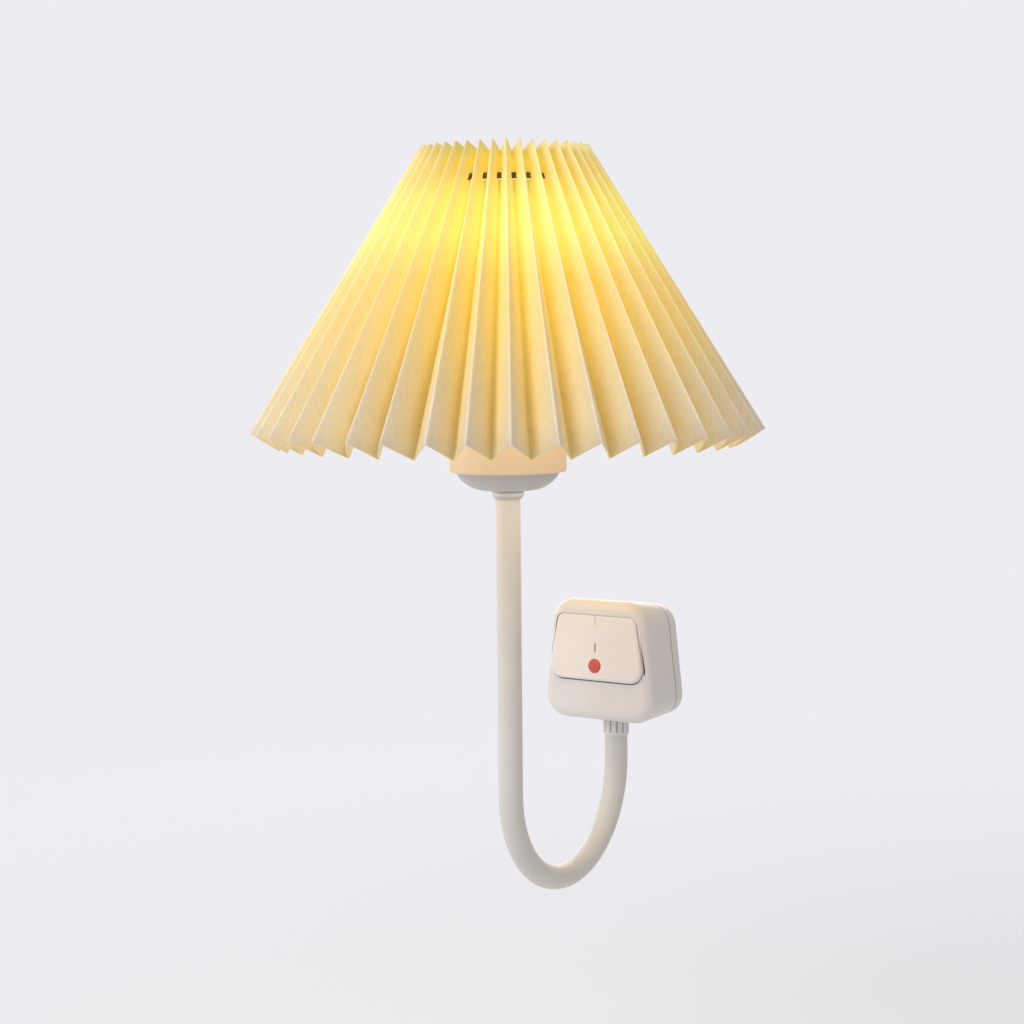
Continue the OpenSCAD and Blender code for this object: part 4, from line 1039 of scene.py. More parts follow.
@dataclass
class RockerSwitch:
    """Rocker with its mark, and the red window of the indicator."""

    outline: Outline = ROCKER_OUTLINE
    flare: float = 1.04
    front: float = -7.0
    back: float = -3.6
    edge: float = 1.2
    soft_edge: float = 0.18
    lean: float = -4.0
    lens_r: float = 2.9
    lens_gap: float = 0.25
    lens_drop: float = 8.0
    lens_h: tuple[float, float] = (4.55, 4.9)
    lens_edge: float = 0.6
    flange_w: float = 0.8
    flange_t: float = 0.6
    mark: tuple[float, float] = (0.8, 3.8)
    mark_depth: float = 0.35
    ink_gap: float = 0.04
    ink_drop: float = 0.12
    ink_under: float = 0.05
    notch: tuple[float, float] = (1.4, 5.0)
    cheek_x: float = 10.9
    cheek_t: float = 2.4
    cheek_in: float = 0.5
    cheek_end: float = 1.6
    ear_r: float = 2.8
    pin_r: float = 1.5
    pin_x: float = 16.6

    def placed(self, bm: BMesh) -> BMesh:
        """Moves a shape from the rocker's own axes to its pivot, leaning as at rest."""
        return moved(turned(bm, Matrix.Rotation(math.radians(self.lean), 3, "X")), PIVOT)

    def build(self) -> None:
        """Builds the rocker, its mark and its window."""
        self.cap()
        self.ink()
        self.window()

    def cap(self) -> None:
        """Builds the rocker's cap with its cheeks and pins."""
        half_mark, half_high, half_notch = self.mark[0] / 2, self.mark[1] / 2, self.notch[0] / 2
        start, floor, top = self.front - CUT, self.front + self.mark_depth, self.outline.high_z
        shape = carve(self.outline.slab(self.back, self.front, self.edge, flare=self.flare), [
            rod(self.lens_r + self.lens_gap, (0, start, -self.lens_drop),
                (0, self.back + CUT, -self.lens_drop)),
            block((-half_mark, start, -half_high), (half_mark, floor, half_high)),
            block((-half_notch, start, top - self.notch[1]), (half_notch, floor, top + CUT)),
        ])
        for side in (-1, 1):
            near, far = side * self.cheek_x, side * (self.cheek_x + self.cheek_t)
            cheek = block((min(near, far), self.back - self.cheek_in, -self.ear_r),
                          (max(near, far), self.cheek_end, self.ear_r))
            join(shape, cheek, rod(self.pin_r, (near, 0, 0), (side * self.pin_x, 0, 0)))
        piece = finish_piece(self.placed(shape), "rocker_cap", [ROCKER_ABS], Body.ROCKER,
                             ["rocker"])
        soften(piece, self.soft_edge)

    def ink(self) -> None:
        """Builds the ink that fills the mark."""
        half_w, half_h = self.mark[0] / 2 - self.ink_gap, self.mark[1] / 2 - self.ink_gap
        bm = block((-half_w, self.front + self.ink_drop, -half_h),
                   (half_w, self.front + self.mark_depth + self.ink_under, half_h))
        bevel_edges(bm, bm.edges, self.ink_gap, 1)
        finish_piece(self.placed(bm), "rocker_mark", [MARK_INK], Body.ROCKER)

    def window(self) -> None:
        """Builds the domed red window with its flange."""
        r, flange, thick = self.lens_r, self.lens_r + self.flange_w, self.flange_t
        bm = lathe([(0.0, 0.0, 0.0), (flange, 0.0, 0.15), (flange, thick, 0.1), (r, thick, 0.0),
                    (r, self.lens_h[0], self.lens_edge), (0.0, self.lens_h[1], 0.0)], steps=ROD_STEPS)
        moved(turned(bm, Matrix.Rotation(math.radians(90), 3, "X")), (0.0, self.back + thick, -self.lens_drop))
        finish_piece(self.placed(bm), "indicator_window", [RED_LENS], Body.ROCKER,
                     ["indicator_lens"])


@dataclass
class Outlet:
    """Grooved nut where the neck leaves the plug."""

    r: float = 5.7
    bore: float = 5.1
    low_z: float = -36.0
    top_z: float = -27.5
    grooves: int = 12
    steps_per_groove: int = 8
    groove_steps: int = 3
    groove_depth: float = 0.4
    groove_end: float = 0.4
    rim: float = 1.0

    def build(self) -> None:
        """Builds the nut."""
        steps = self.grooves * self.steps_per_groove
        low, high = self.low_z + self.rim, self.top_z - self.rim
        bm = lathe([(self.bore, self.low_z, 0.1), (self.r, self.low_z, 0.45), (self.r, low, 0.0),
                    (self.r, low + self.groove_end, 0.0), (self.r, high - self.groove_end, 0.0),
                    (self.r, high, 0.0), (self.r, self.top_z, 0.3), (self.bore, self.top_z, 0.0)], steps=steps)
        shrink, skin, half_end = 1 - self.groove_depth / self.r, self.r - ON_SKIN, self.groove_end / 2
        groove = [v for v in bm.verts if low + half_end < v.co.z < high - half_end and v.co.xy.length > skin
                  and groove_step(v, steps, self.steps_per_groove) < self.groove_steps]
        bmesh.ops.scale(bm, vec=(shrink, shrink, 1.0), verts=groove)
        # The faces inside the grooves take the second finish, which paints shade into the grooves
        for face in {f for v in groove for f in v.link_faces}:
            face.material_index = int(all(v in groove for v in face.verts))
        finish_piece(moved(bm, (0.0, OUTLET_Y, 0.0)), "neck_nut", [PLUG_ABS, PAINTED_SHADE_ABS], Body.PLUG,
                     ["outlet_nut"], sharp=50.0)


@dataclass
class Neck:
    """Bendable neck: one sleeve in six lengths, each of which spans one joint."""

    r: float = 5.0
    bore: float = 3.5
    ring: int = 48
    start_z: float = -34.0
    bend_z: float = -46.5
    swing_low_z: float = -41.5
    swing_high_z: float = 0.0
    tilt_z: float = 45.5
    end_z: float = 77.0
    step: float = 1.8
    part_deg: float = 45.0
    low_reach: float = 5.0
    bend_reach: float = 14.0
    leg_reach: float = 15.0

    def point(self, turn: float) -> Vector:
        """Gives the point of the bend's middle line at a turn in degrees."""
        a = math.radians(turn)
        return Vector((0.0, OUTLET_Y - BEND_R + BEND_R * math.cos(a), self.bend_z - BEND_R * math.sin(a)))

    def way(self, turn: float) -> Vector:
        """Gives the direction of the middle line at a turn in degrees."""
        a = math.radians(turn)
        return Vector((0.0, -math.sin(a), -math.cos(a)))

    def tube(self, at: Vector, way: Vector, runs: Sequence[tuple[Run, float]]) -> BMesh:
        """Makes a tube from straight runs and turns in the bend's plane.

        Args:
            at: middle of the first end.
            way: direction of the first run.
            runs: kind of each run, with its length or its degrees.

        Returns:
            The tube.
        """
        bm = bmesh.new()
        bmesh.ops.create_circle(bm, cap_ends=True, segments=self.ring, radius=self.r)
        inset = bmesh.ops.inset_region(bm, faces=bm.faces[:], thickness=self.r - self.bore,
                                       use_boundary=True, use_even_offset=True)
        middle = [f for f in bm.faces if f not in inset["faces"]]
        bmesh.ops.delete(bm, geom=middle, context="FACES")
        moved(turned(bm, UP.rotation_difference(way).to_matrix()), at)
        end, way = bm.faces[:], way.copy()
        centre = Vector((0.0, OUTLET_Y - BEND_R, self.bend_z))
        for kind, amount in runs:
            if kind is Run.STRAIGHT:
                steps = max(1, round(amount / self.step))
                for _ in range(steps):
                    end = extruded(bm, end, way * amount / steps)
            else:
                angle = math.radians(-amount)
                steps = max(2, round(abs(angle) * BEND_R / self.step))
                made = bmesh.ops.spin(bm, geom=end, cent=centre, axis=(1, 0, 0), dvec=(0, 0, 0), angle=angle,
                                      steps=steps, use_merge=False, use_duplicate=False)["geom_last"]
                end = [f for f in made if isinstance(f, BMFace)]
                way.rotate(Matrix.Rotation(angle, 3, "X"))
        return bm

    def length(self, name: str, bm: BMesh, bodies: tuple[Body, Body], joint: Vector, way: Vector,
               reach: float, stands_for: Sequence[str]) -> None:
        """Finishes one length of the sleeve.

        Args:
            name: the piece's name.
            bm: its mesh.
            bodies: the bodies before and after the joint; not used.
            joint: the joint's place; not used.
            way: the neck's direction there; not used.
            reach: how far from the joint the bending starts and ends; not used.
            stands_for: CAD nodes that the piece replaces.
        """
        piece = finish_piece(bm, name, [SLEEVE_PVC], None, stands_for, sharp=60.0)
        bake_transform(piece)

    def build(self) -> None:
        """Builds the six lengths."""
        half = self.part_deg / 2
        first = self.tube(Vector((0, OUTLET_Y, self.start_z)), DOWN,
                          [(Run.STRAIGHT, self.start_z - self.bend_z), (Run.TURN, half)])
        self.length("neck_sleeve_1", first, (Body.PLUG, Body.NECK_A), Vector((0, OUTLET_Y, self.swing_low_z)),
                    DOWN, self.low_reach, ["neck_link_1", "neck_core", "lamp_wires"])
        pairs = [(Body.NECK_A, Body.NECK_B), (Body.NECK_B, Body.NECK_C), (Body.NECK_C, Body.NECK_D)]
        for i, bodies in enumerate(pairs):
            turn = self.part_deg * (i + 1)
            bm = self.tube(self.point(turn - half), self.way(turn - half), [(Run.TURN, self.part_deg)])
            self.length(f"neck_sleeve_{i + 2}", bm, bodies, self.point(turn), self.way(turn), self.bend_reach,
                        [f"neck_link_{i + 2}"])
        last, half_z = 180.0 - half, (self.swing_high_z + self.tilt_z) / 2
        fifth = self.tube(self.point(last), self.way(last),
                          [(Run.TURN, half), (Run.STRAIGHT, half_z - self.bend_z)])
        self.length("neck_sleeve_5", fifth, (Body.NECK_D, Body.NECK_E), Vector((0, LAMP_Y, self.swing_high_z)),
                    UP, self.leg_reach, ["neck_link_5"])
        sixth = self.tube(Vector((0, LAMP_Y, half_z)), UP, [(Run.STRAIGHT, self.end_z - half_z)])
        self.length("neck_sleeve_6", sixth, (Body.NECK_E, Body.HEAD), Vector((0, LAMP_Y, self.tilt_z)),
                    UP, self.leg_reach, ["neck_link_6", "neck_link_7"])


@dataclass
class LampHolder:
    """Collar, dish, lampholder shell and the ring nut that clamps the shade.

    The dish's sides are given as distance in from its rim, height above its bottom, and rounding.
    """

    bore: float = FERRULE_R + 0.1
    collar_z: float = 75.0
    collar_r: float = 6.4
    collar_bore: float = 5.15
    collar_seat: float = 2.0
    collar_step: tuple[float, float] = (0.7, 0.9)
    dish_z: float = 78.6
    dish_r: float = 20.8
    dish_t: float = 1.5
    dish_outside: tuple = ((8.4, 0.0, 2.2), (2.9, 2.7, 2.6), (0.3, 6.0, 1.4))
    dish_inside: tuple = ((2.2, 5.6, 1.0), (5.4, 3.4, 1.6), (9.6, 1.5, 1.4))
    holder_z: float = 86.0
    holder_r: float = 23.7
    shoulder_z: float = 124.0
    thread_top_z: float = 136.0
    thread_r: float = 20.0
    wall: float = 2.0
    bottom: float = 3.0
    nut_r: float = 25.5
    nut_z: tuple[float, float] = (125.5, 130.5)
    nut_gap: float = 0.1
    nut_rim: tuple[float, float] = (1.0, 1.4)
    grips: int = 24
    steps_per_grip: int = 6
    grip_steps: int = 2
    grip_depth: float = 0.6

    def build(self) -> None:
        """Builds the four pieces."""
        self.collar()
        self.dish()
        self.shell()
        self.ring_nut()

    def collar(self) -> None:
        """Builds the stepped collar at the neck's end."""
        z, top, seat = self.collar_z, self.dish_z, self.collar_z + self.collar_seat
        step_r, step_z = self.collar_r - self.collar_step[0], self.collar_z + self.collar_step[1]
        bm = lathe([(self.collar_bore, z, 0.1), (step_r, z, 0.25), (step_r, step_z, 0.0),
                    (self.collar_r, step_z, 0.3), (self.collar_r, top, 0.2), (self.bore, top, 0.0),
                    (self.bore, seat, 0.0), (self.collar_bore, seat, 0.0)])
        finish_piece(on_lamp_axis(bm), "neck_collar", [DISH_ABS], Body.HEAD, ["collar"])

    def dish(self) -> None:
        """Builds the dish under the lampholder."""
        r, z, top = self.dish_r, self.dish_z, self.holder_z
        outside, inside = ([(r - side, z + rise, rounding) for side, rise, rounding in way]
                           for way in (self.dish_outside, self.dish_inside))
        bm = lathe([(self.bore, z, 0.0), *outside, (r, top, 0.2), (r - self.dish_t, top, 0.2), *inside,
                    (self.bore, z + self.dish_t, 0.0)])
        finish_piece(on_lamp_axis(bm), "holder_dish", [DISH_ABS], Body.HEAD, ["dish_cap"])

    def shell(self) -> None:
        """Builds the lampholder's shell."""
        r, neck, wall = self.holder_r, self.thread_r, self.wall
        z, floor, roof = self.holder_z, self.holder_z + self.bottom, self.shoulder_z - self.wall
        bm = lathe([(self.bore, z, 0.0), (r, z, 0.8), (r, self.shoulder_z, 1.2), (neck, self.shoulder_z, 0.3),
                    (neck, self.thread_top_z, 0.5), (neck - wall, self.thread_top_z, 0.5),
                    (neck - wall, roof, 0.0), (r - wall, roof, 0.5), (r - wall, floor, 0.5),
                    (self.bore, floor, 0.0)])
        finish_piece(on_lamp_axis(bm), "lampholder_shell", [HOLDER_PBT], Body.HEAD,
                     ["holder_shell"])

    def ring_nut(self) -> None:
        """Builds the ring nut with its finger grips."""
        low, high = self.nut_z
        rim_low, rim_high = (low + h for h in self.nut_rim)
        inner, steps = self.thread_r + self.nut_gap, self.grips * self.steps_per_grip
        bm = lathe([(inner, low, 0.2), (self.nut_r, low, 0.3), (self.nut_r, rim_low, 0.0),
                    (self.nut_r, rim_high, 0.0), (self.nut_r, high, 0.4), (inner, high, 0.3)], steps=steps)
        shrink, skin = 1 - self.grip_depth / self.nut_r, self.nut_r - self.grip_depth
        grips = [v for v in bm.verts if v.co.z > (rim_low + rim_high) / 2 and v.co.xy.length > skin
                 and groove_step(v, steps, self.steps_per_grip) < self.grip_steps]
        bmesh.ops.scale(bm, vec=(shrink, shrink, 1.0), verts=grips)
        finish_piece(on_lamp_axis(bm), "shade_ring_nut_gripped", [HOLDER_PBT], Body.HEAD,
                     ["shade_ring_nut"], sharp=50.0)


@dataclass
class PleatedShade:
    """Shade of one pleated sheet, notched at its inner folds for the carrier's ring."""

    pleats: int = 40
    start_deg: float = 7.0
    outer_low: tuple[float, float] = (102.8, 103.0)
    outer_high: tuple[float, float] = (33.1, 215.0)
    inner_low: tuple[float, float] = (92.27, 96.45)
    inner_high: tuple[float, float] = (25.8, 210.45)
    sheet: float = 0.6
    crease: float = 0.35
    notch_z: tuple[float, float] = (199.6, 202.6)
    notch_share: float = 0.42
    rows: int = 10
    row_gap: float = 0.03
    merge: float = 0.01
    seed: int = 11
    wander_deg: float = 0.45
    wander_mm: float = 0.55
    top_turn: float = 0.4
    top_pull: float = 0.3

    def point(self, share: float, rise: float, angle: float) -> Vector:
        """Gives a point of the sheet.

        Args:
            share: 0 at an inner fold, 1 at an outer fold.
            rise: 0 at the bottom edge, 1 at the top edge.
            angle: angle about the lamp's axis, in radians.

        Returns:
            The point.
        """
        inner = Vector(self.inner_low).lerp(Vector(self.inner_high), rise)
        outer = Vector(self.outer_low).lerp(Vector(self.outer_high), rise)
        p = inner.lerp(outer, share)
        return Vector((p.x * math.cos(angle), p.x * math.sin(angle), p.y))

    def rise_at(self, share: float, height: float) -> float:
        """Finds where the sheet reaches a height.

        Args:
            share: 0 on an inner fold, 1 on an outer fold.
            height: the height.

        Returns:
            The rise, 0 at the bottom edge and 1 at the top edge.
        """
        low = self.inner_low[1] + (self.outer_low[1] - self.inner_low[1]) * share
        high = self.inner_high[1] + (self.outer_high[1] - self.inner_high[1]) * share
        return (height - low) / (high - low)

    def fold_height(self, rise: float) -> float:
        """Gives the height of an inner fold at this rise."""
        return self.inner_low[1] + (self.inner_high[1] - self.inner_low[1]) * rise

    def row_rises(self) -> list[float]:
        """Spreads the sheet's rows, with rows at the notch's edges.

        Returns:
            The rise of each row.
        """
        notch = [self.rise_at(0.0, z) for z in self.notch_z]
        plain = [i / self.rows for i in range(self.rows + 1)]
        return sorted([r for r in plain if all(abs(r - n) > self.row_gap for n in notch)] + notch)

    def build(self) -> None:
        """Builds the shade."""
        bm = bmesh.new()
        self.pleat(bm)
        bmesh.ops.spin(bm, geom=bm.verts[:] + bm.edges[:] + bm.faces[:], cent=(0, 0, 0), axis=(0, 0, 1),
                       dvec=(0, 0, 0), angle=2 * math.pi * (self.pleats - 1) / self.pleats,
                       steps=self.pleats - 1, use_merge=False, use_duplicate=True)
        bmesh.ops.remove_doubles(bm, verts=bm.verts[:], dist=self.merge)
        self.wander(bm)
        notch, crease = bm.faces.layers.int[NOTCH], bm.edges.layers.int[CREASE]
        bmesh.ops.delete(bm, geom=[f for f in bm.faces if f[notch]], context="FACES")
        bevel_edges(bm, [e for e in bm.edges if e[crease]], self.crease, SOFT_STEPS)
        piece = finish_piece(on_lamp_axis(bm), "pleated_shade", [PAPER_OUT, PAPER_IN], Body.HEAD,
                             ["shade"], sharp=70.0)
        wall = piece.modifiers.new("paper", "SOLIDIFY")
        wall.thickness = self.sheet * MM
        wall.offset = 0.0
        wall.use_even_offset = True
        wall.material_offset = 1

    def pleat(self, bm: BMesh) -> None:
        """Draws one pleat, from an outer fold over an inner fold to the next outer fold.

        Args:
            bm: the empty mesh, which also gets layers for the folds, the creases and the notch.
        """
        fold = bm.verts.layers.float.new(FOLD)
        crease = bm.edges.layers.int.new(CREASE)
        notch = bm.faces.layers.int.new(NOTCH)
        half = math.pi / self.pleats
        middle = math.radians(self.start_deg) + half
        shares = [1.0, self.notch_share, 0.0, self.notch_share, 1.0]
        angles = [middle - half * s if i < 3 else middle + half * s for i, s in enumerate(shares)]
        rises = self.row_rises()
        line = []
        for share, angle in zip(shares, angles):
            vert = bm.verts.new(self.point(share, rises[0], angle))
            vert[fold] = share
            line.append(vert)
        edges = [bm.edges.new(pair) for pair in zip(line, line[1:])]
        notch_low = min(range(len(rises)), key=lambda i: abs(self.fold_height(rises[i]) - self.notch_z[0]))
        for row in range(1, len(rises)):
            made = bmesh.ops.extrude_edge_only(bm, edges=edges)["geom"]
            verts = [g for g in made if isinstance(g, BMVert)]
            edges = [g for g in made if isinstance(g, BMEdge) and all(v in verts for v in g.verts)]
            verts.sort(key=lambda v: math.atan2(v.co.y, v.co.x))
            level = row in (notch_low, notch_low + 1)
            height = self.fold_height(rises[row])
            for vert, share, angle in zip(verts, shares, angles):
                rise = self.rise_at(share, height) if level and share < 1 else rises[row]
                vert.co = self.point(share, rise, angle)
                vert[fold] = share
                if share in (0.0, 1.0):
                    upright = [e for e in vert.link_edges if e not in edges]
                    upright[0][crease] = 1
            for face in {f for v in verts for f in v.link_faces}:
                face[notch] = int(row == notch_low + 1 and any(v[fold] == 0.0 for v in face.verts))

    def wander(self, bm: BMesh) -> None:
        """Moves each fold a little, as in a sheet folded by hand.

        Args:
            bm: the shade's mesh.
        """
        draw = random.Random(self.seed)
        half = math.pi / self.pleats
        turns = [draw.uniform(-1, 1) for _ in range(2 * self.pleats)]
        pulls = [draw.uniform(-1, 1) for _ in range(2 * self.pleats)]
        for vert in bm.verts:
            place = (math.atan2(vert.co.y, vert.co.x) - math.radians(self.start_deg)) / half
            k, part = int(math.floor(place)) % len(turns), place - math.floor(place)
            nxt = (k + 1) % len(turns)
            low = 1 - (vert.co.z - self.inner_low[1]) / (self.outer_high[1] - self.inner_low[1])
            turn = math.radians(self.wander_deg) * (turns[k] * (1 - part) + turns[nxt] * part)
            pull = -abs(self.wander_mm * (pulls[k] * (1 - part) + pulls[nxt] * part))
            turn *= self.top_turn + (1 - self.top_turn) * low
            pull *= self.top_pull + (1 - self.top_pull) * low
            flat = vert.co.xy.normalized() * pull
            vert.co = Matrix.Rotation(turn, 3, "Z") @ (vert.co + Vector((flat.x, flat.y, 0.0)))


@dataclass
class Bulb:
    """Screw-in bulb: cap, body and frosted dome."""

    cap_z: float = 107.75
    cap_top_z: float = 131.75
    cap_r: float = 13.05
    cap_end_in: float = 1.2
    threads: int = 6
    thread_start: float = 0.8
    thread_end: float = 0.7
    thread_depth: float = 0.9
    neck_r: float = 13.65
    body_low_z: float = 136.0
    body_top_z: float = 162.0
    flare: tuple[float, float] = (1.5, 17.0)
    rim: tuple[float, float] = (1.2, 0.4)
    rim_in: float = 0.5
    r: float = 25.0
    dome_h: float = 33.0
    dome_in: float = 0.3
    dome_steps: int = 64
    wall: float = 1.4

    def build(self) -> None:
        """Builds the three pieces."""
        self.cap()
        self.body()
        self.dome()

    def cap(self) -> None:
        """Builds the screw cap."""
        low, top, r, root = self.cap_z, self.cap_top_z, self.cap_r, self.cap_r - self.thread_depth
        pitch = (top - low - self.thread_start - self.thread_end) / self.threads
        outline = [(0.0, low, 0.0), (r - self.cap_end_in, low, 0.4)]
        for i in range(self.threads):
            z = low + self.thread_start + pitch * i
            outline += [(root, z, 0.3), (r, z + pitch / 2, 0.9)]
        outline += [(root, top - self.thread_end, 0.2), (r, top, 0.1), (0.0, top, 0.0)]
        finish_piece(on_lamp_axis(lathe(outline)), "bulb_screw_cap", [CAP_ALUMINIUM],
                     Body.BULB, ["bulb_cap"])

    def body(self) -> None:
        """Builds the flared housing."""
        low, top, r = self.cap_top_z, self.body_top_z, self.r
        flare_r, flare_z = r - self.flare[0], self.body_low_z + self.flare[1]
        bm = lathe([(0.0, low, 0.0), (self.neck_r, low, 0.4), (self.neck_r, self.body_low_z, 3.5),
                    (flare_r, flare_z, 9.0), (r, top - self.rim[0], 2.0), (r, top - self.rim[1], 0.0),
                    (r - self.rim_in, top, 0.2), (0.0, top, 0.0)])
        finish_piece(on_lamp_axis(bm), "bulb_housing", [BULB_PBT], Body.BULB, ["bulb_body"])

    def dome(self) -> None:
        """Builds the frosted dome."""
        bm = bmesh.new()
        bmesh.ops.create_uvsphere(bm, u_segments=self.dome_steps, v_segments=self.dome_steps // 2,
                                  radius=self.r - self.dome_in)
        bmesh.ops.bisect_plane(bm, geom=bm.verts[:] + bm.edges[:] + bm.faces[:], dist=1e-4,
                               plane_co=(0, 0, 0), plane_no=(0, 0, 1), clear_inner=True)
        bmesh.ops.scale(bm, vec=(1.0, 1.0, self.dome_h / self.r), verts=bm.verts[:])
        moved(bm, (0.0, 0.0, self.body_top_z))
        piece = finish_piece(on_lamp_axis(bm), "bulb_frosted_dome", [DOME_FROST], Body.BULB,
                             ["bulb_dome"])
        shell = piece.modifiers.new("dome_wall", "SOLIDIFY")
        shell.thickness = self.wall * MM
        shell.offset = -1.0


@dataclass
class InnerParts:
    """CAD nodes that keep their shape and get their real finish."""

    finishes: dict[str, Finish] = field(default_factory=lambda: {
        "blade_carrier": PHENOLIC, "switch_base": PHENOLIC, "cover_screws": ZINC_STEEL,
        "switch_screws": ZINC_STEEL, "indicator_led": RED_LENS, "plunger": ZINC_STEEL,
        "plunger_spring": ZINC_STEEL, "seesaw_contact": CONTACT_BRASS, "pivot_contact": CONTACT_BRASS,
        "fixed_contact": CONTACT_BRASS, "live_link": WIRE_RED, "lower_ferrule": ZINC_STEEL,
        "lower_locknut": ZINC_STEEL, "upper_ferrule": ZINC_STEEL, "upper_locknut": ZINC_STEEL,
        "holder_insert": STEATITE, "holder_terminals": CONTACT_BRASS, "screw_shell": CONTACT_BRASS,
        "centre_contact": CONTACT_BRASS, "shade_carrier": COATED_WIRE, "bulb_contact": PHENOLIC,
        "led_board": BOARD_WHITE,
    })

    def dress(self) -> None:
        """Gives each node its finish."""
        for name, finish in self.finishes.items():
            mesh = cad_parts[name].data
            mesh.materials.clear()
            mesh.materials.append(finish.material())
            LOG.info("%s: %s", name, finish.name)


@dataclass(frozen=True)
class SoftLamp:
    """A round soft lamp: its diameter in metres, its power in watts and the colour of its light.

    A studio lamp's place is counted in metres along the camera's forward, right and up directions.
    A head lamp's place is counted in metres along the frame's axes.
    """

    name: str
    place: tuple[float, float, float]
    size: float
    power: float
    colour: str = "#FFFFFF"

    def hung(self, at: Vector, target: Vector) -> Object:
        """Hangs the lamp so that it faces a point and the camera doesn't see it.

        Args:
            at: its place.
            target: the point that it faces.

        Returns:
            The lamp.
        """
        data = bpy.data.lights.new(self.name, "AREA")
        data.shape = "DISK"
        data.size = self.size
        data.energy = self.power
        data.color = to_linear(self.colour)[:3]
        lamp = bpy.data.objects.new(self.name, data)
        turn = (target - at).to_track_quat("-Z", "Y").to_matrix().to_4x4()
        lamp.matrix_world = Matrix.Translation(at) @ turn
        lamp.visible_camera = False
        bpy.context.scene.collection.objects.link(lamp)
        return lamp


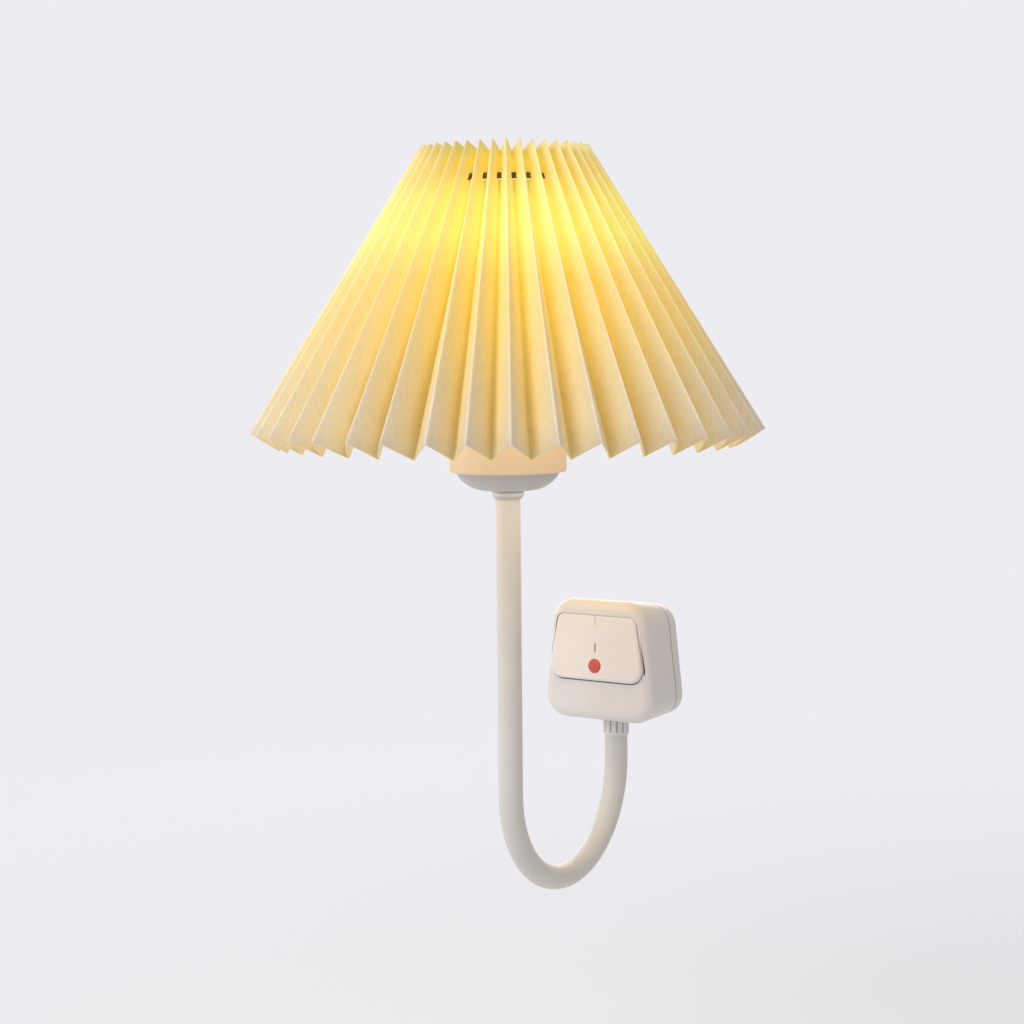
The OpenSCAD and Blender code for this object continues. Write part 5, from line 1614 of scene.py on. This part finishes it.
@dataclass
class Studio:
    """Camera at the photograph's angle, soft light, pale floor and background."""

    place_mm: tuple[float, float, float] = (449.037, -796.046, 146.703)
    azimuth: float = 32.833
    down: float = 5.337
    roll: float = -0.526
    lens: float = 72.486
    sensor: float = 36.0
    far: float = 50.0
    middle: tuple[float, float, float] = (0.0, -0.06, 0.06)
    studio_lamps: tuple[SoftLamp, ...] = (
        SoftLamp("key", (-1.0, -1.0, 0.8), 1.0, 13.0),
        SoftLamp("side", (0.2, -1.3, 0.0), 0.6, 2.4),
        SoftLamp("fill", (-0.9, 1.2, 0.3), 1.2, 2.5, "#FFF0DE"),
        SoftLamp("back", (1.2, -0.2, 0.5), 1.6, 9.0),
    )
    head_lamps: tuple[SoftLamp, ...] = (
        SoftLamp("shade_mouth", (0.0, LAMP_Y * MM, 0.118), 0.16, 0.06, "#FFDDA8"),
        SoftLamp("shade_spill", (0.0, LAMP_Y * MM, 0.0775), 0.1, 0.027, "#FFE9C6"),
    )
    floor: str = "#F4F3F6"
    floor_z_mm: float = -200.0
    floor_y: float = -0.1
    floor_r: float = 6.0
    floor_haze: float = 0.5
    floor_fade: tuple[float, float] = (0.15, 0.9)
    background: str = "#EDECF1"
    ambient: float = 0.4

    def axes(self) -> tuple[Vector, Vector, Vector]:
        """Works out how the camera is turned.

        Returns:
            The camera's right, up and forward directions.
        """
        a, e, r = (math.radians(v) for v in (self.azimuth, self.down, self.roll))
        forward = Vector((-math.sin(a) * math.cos(e), math.cos(a) * math.cos(e), -math.sin(e)))
        right = Vector((math.cos(a), math.sin(a), 0.0))
        up = right.cross(forward)
        return right * math.cos(r) + up * math.sin(r), up * math.cos(r) - right * math.sin(r), forward

    def build(self) -> None:
        """Sets up the camera, the light, the floor and the background."""
        self.camera()
        self.lamps()
        self.ground()
        self.sky()
        bpy.context.scene.view_settings.view_transform = "Standard"

    def camera(self) -> None:
        """Places the camera."""
        right, up, forward = self.axes()
        data = bpy.data.cameras.new("camera")
        data.sensor_width = self.sensor
        data.lens = self.lens
        data.clip_end = self.far
        camera = bpy.data.objects.new("camera", data)
        turn = Matrix((right, up, -forward)).transposed().to_4x4()
        camera.matrix_world = Matrix.Translation(Vector(self.place_mm) * MM) @ turn
        bpy.context.scene.collection.objects.link(camera)
        bpy.context.scene.camera = camera

    def lamps(self) -> None:
        """Hangs the studio's lamps, and on the head the warm light that leaves the shade downwards."""
        right, up, forward = self.axes()
        middle = Vector(self.middle)
        for lamp in self.studio_lamps:
            ahead, aside, above = lamp.place
            lamp.hung(middle + forward * ahead + right * aside + up * above, middle)
        for lamp in self.head_lamps:
            at = Vector(lamp.place)
            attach(lamp.hung(at, at + DOWN), Body.HEAD.value)

    def ground(self) -> None:
        """Adds the floor, which keeps the shadow near the light and fades to the background."""
        bm = bmesh.new()
        bmesh.ops.create_circle(bm, cap_ends=True, segments=LATHE_STEPS, radius=self.floor_r)
        moved(bm, (0.0, self.floor_y, self.floor_z_mm * MM))
        mesh = bpy.data.meshes.new("floor")
        bm.to_mesh(mesh)
        bm.free()
        floor = bpy.data.objects.new("floor", mesh)
        bpy.context.scene.collection.objects.link(floor)
        made = bpy.data.materials.new("floor_pale_paint")
        tree = bare_tree(made)
        paint = add_node(tree, "ShaderNodeBsdfDiffuse", {"Color": to_linear(self.floor)})
        far = add_node(tree, "ShaderNodeEmission", {"Color": to_linear(self.background), "Strength": 1.0})
        place = add_node(tree, "ShaderNodeTexCoord").outputs["Object"]
        reach = add_node(tree, "ShaderNodeVectorMath", {"operation": "LENGTH"}, {0: place})
        fade = add_node(tree, "ShaderNodeMapRange",
                        {"interpolation_type": "SMOOTHSTEP", "From Min": self.floor_fade[0],
                         "From Max": self.floor_fade[1], "To Min": self.floor_haze, "To Max": 1.0},
                        {"Value": reach.outputs["Value"]})
        path = add_node(tree, "ShaderNodeLightPath")
        seen = add_node(tree, "ShaderNodeMath", {"operation": "MULTIPLY"},
                        {0: fade.outputs[0], 1: path.outputs["Is Camera Ray"]})
        mix = add_node(tree, "ShaderNodeMixShader",
                       links={0: seen.outputs[0], 1: paint.outputs[0], 2: far.outputs[0]})
        add_node(tree, "ShaderNodeOutputMaterial", links={"Surface": mix.outputs[0]})
        mesh.materials.append(made)

    def sky(self) -> None:
        """Sets a plain background for the eye and for reflections, and an even light for the rest."""
        world = bpy.data.worlds.new("plain_background")
        bpy.context.scene.world = world
        tree = bare_tree(world)
        path = add_node(tree, "ShaderNodeLightPath")
        glossy = add_node(tree, "ShaderNodeMath", {"operation": "MAXIMUM"},
                          {0: path.outputs["Is Camera Ray"], 1: path.outputs["Is Glossy Ray"]})
        seen = add_node(tree, "ShaderNodeMath", {"operation": "MAXIMUM"},
                        {0: glossy.outputs[0], 1: path.outputs["Is Transmission Ray"]})
        light = add_node(tree, "ShaderNodeBackground",
                         {"Color": (1.0, 1.0, 1.0, 1.0), "Strength": self.ambient})
        view = add_node(tree, "ShaderNodeBackground",
                        {"Color": to_linear(self.background), "Strength": 1.0})
        mix = add_node(tree, "ShaderNodeMixShader",
                       links={0: seen.outputs[0], 1: light.outputs[0], 2: view.outputs[0]})
        add_node(tree, "ShaderNodeOutputWorld", links={"Surface": mix.outputs[0]})


def write_sizes() -> None:
    """Updates the view layer."""
    bpy.context.view_layer.update()


def main() -> None:
    """Builds the light, its finishes and the studio."""
    logging.basicConfig(level=logging.INFO, format="%(message)s")
    Studio().build()
    for part in (PlugShell(), RockerSwitch(), Outlet(), Neck(), LampHolder(), PleatedShade(), Bulb()):
        part.build()
    InnerParts().dress()
    write_sizes()


if __name__ == "__main__":
    main()
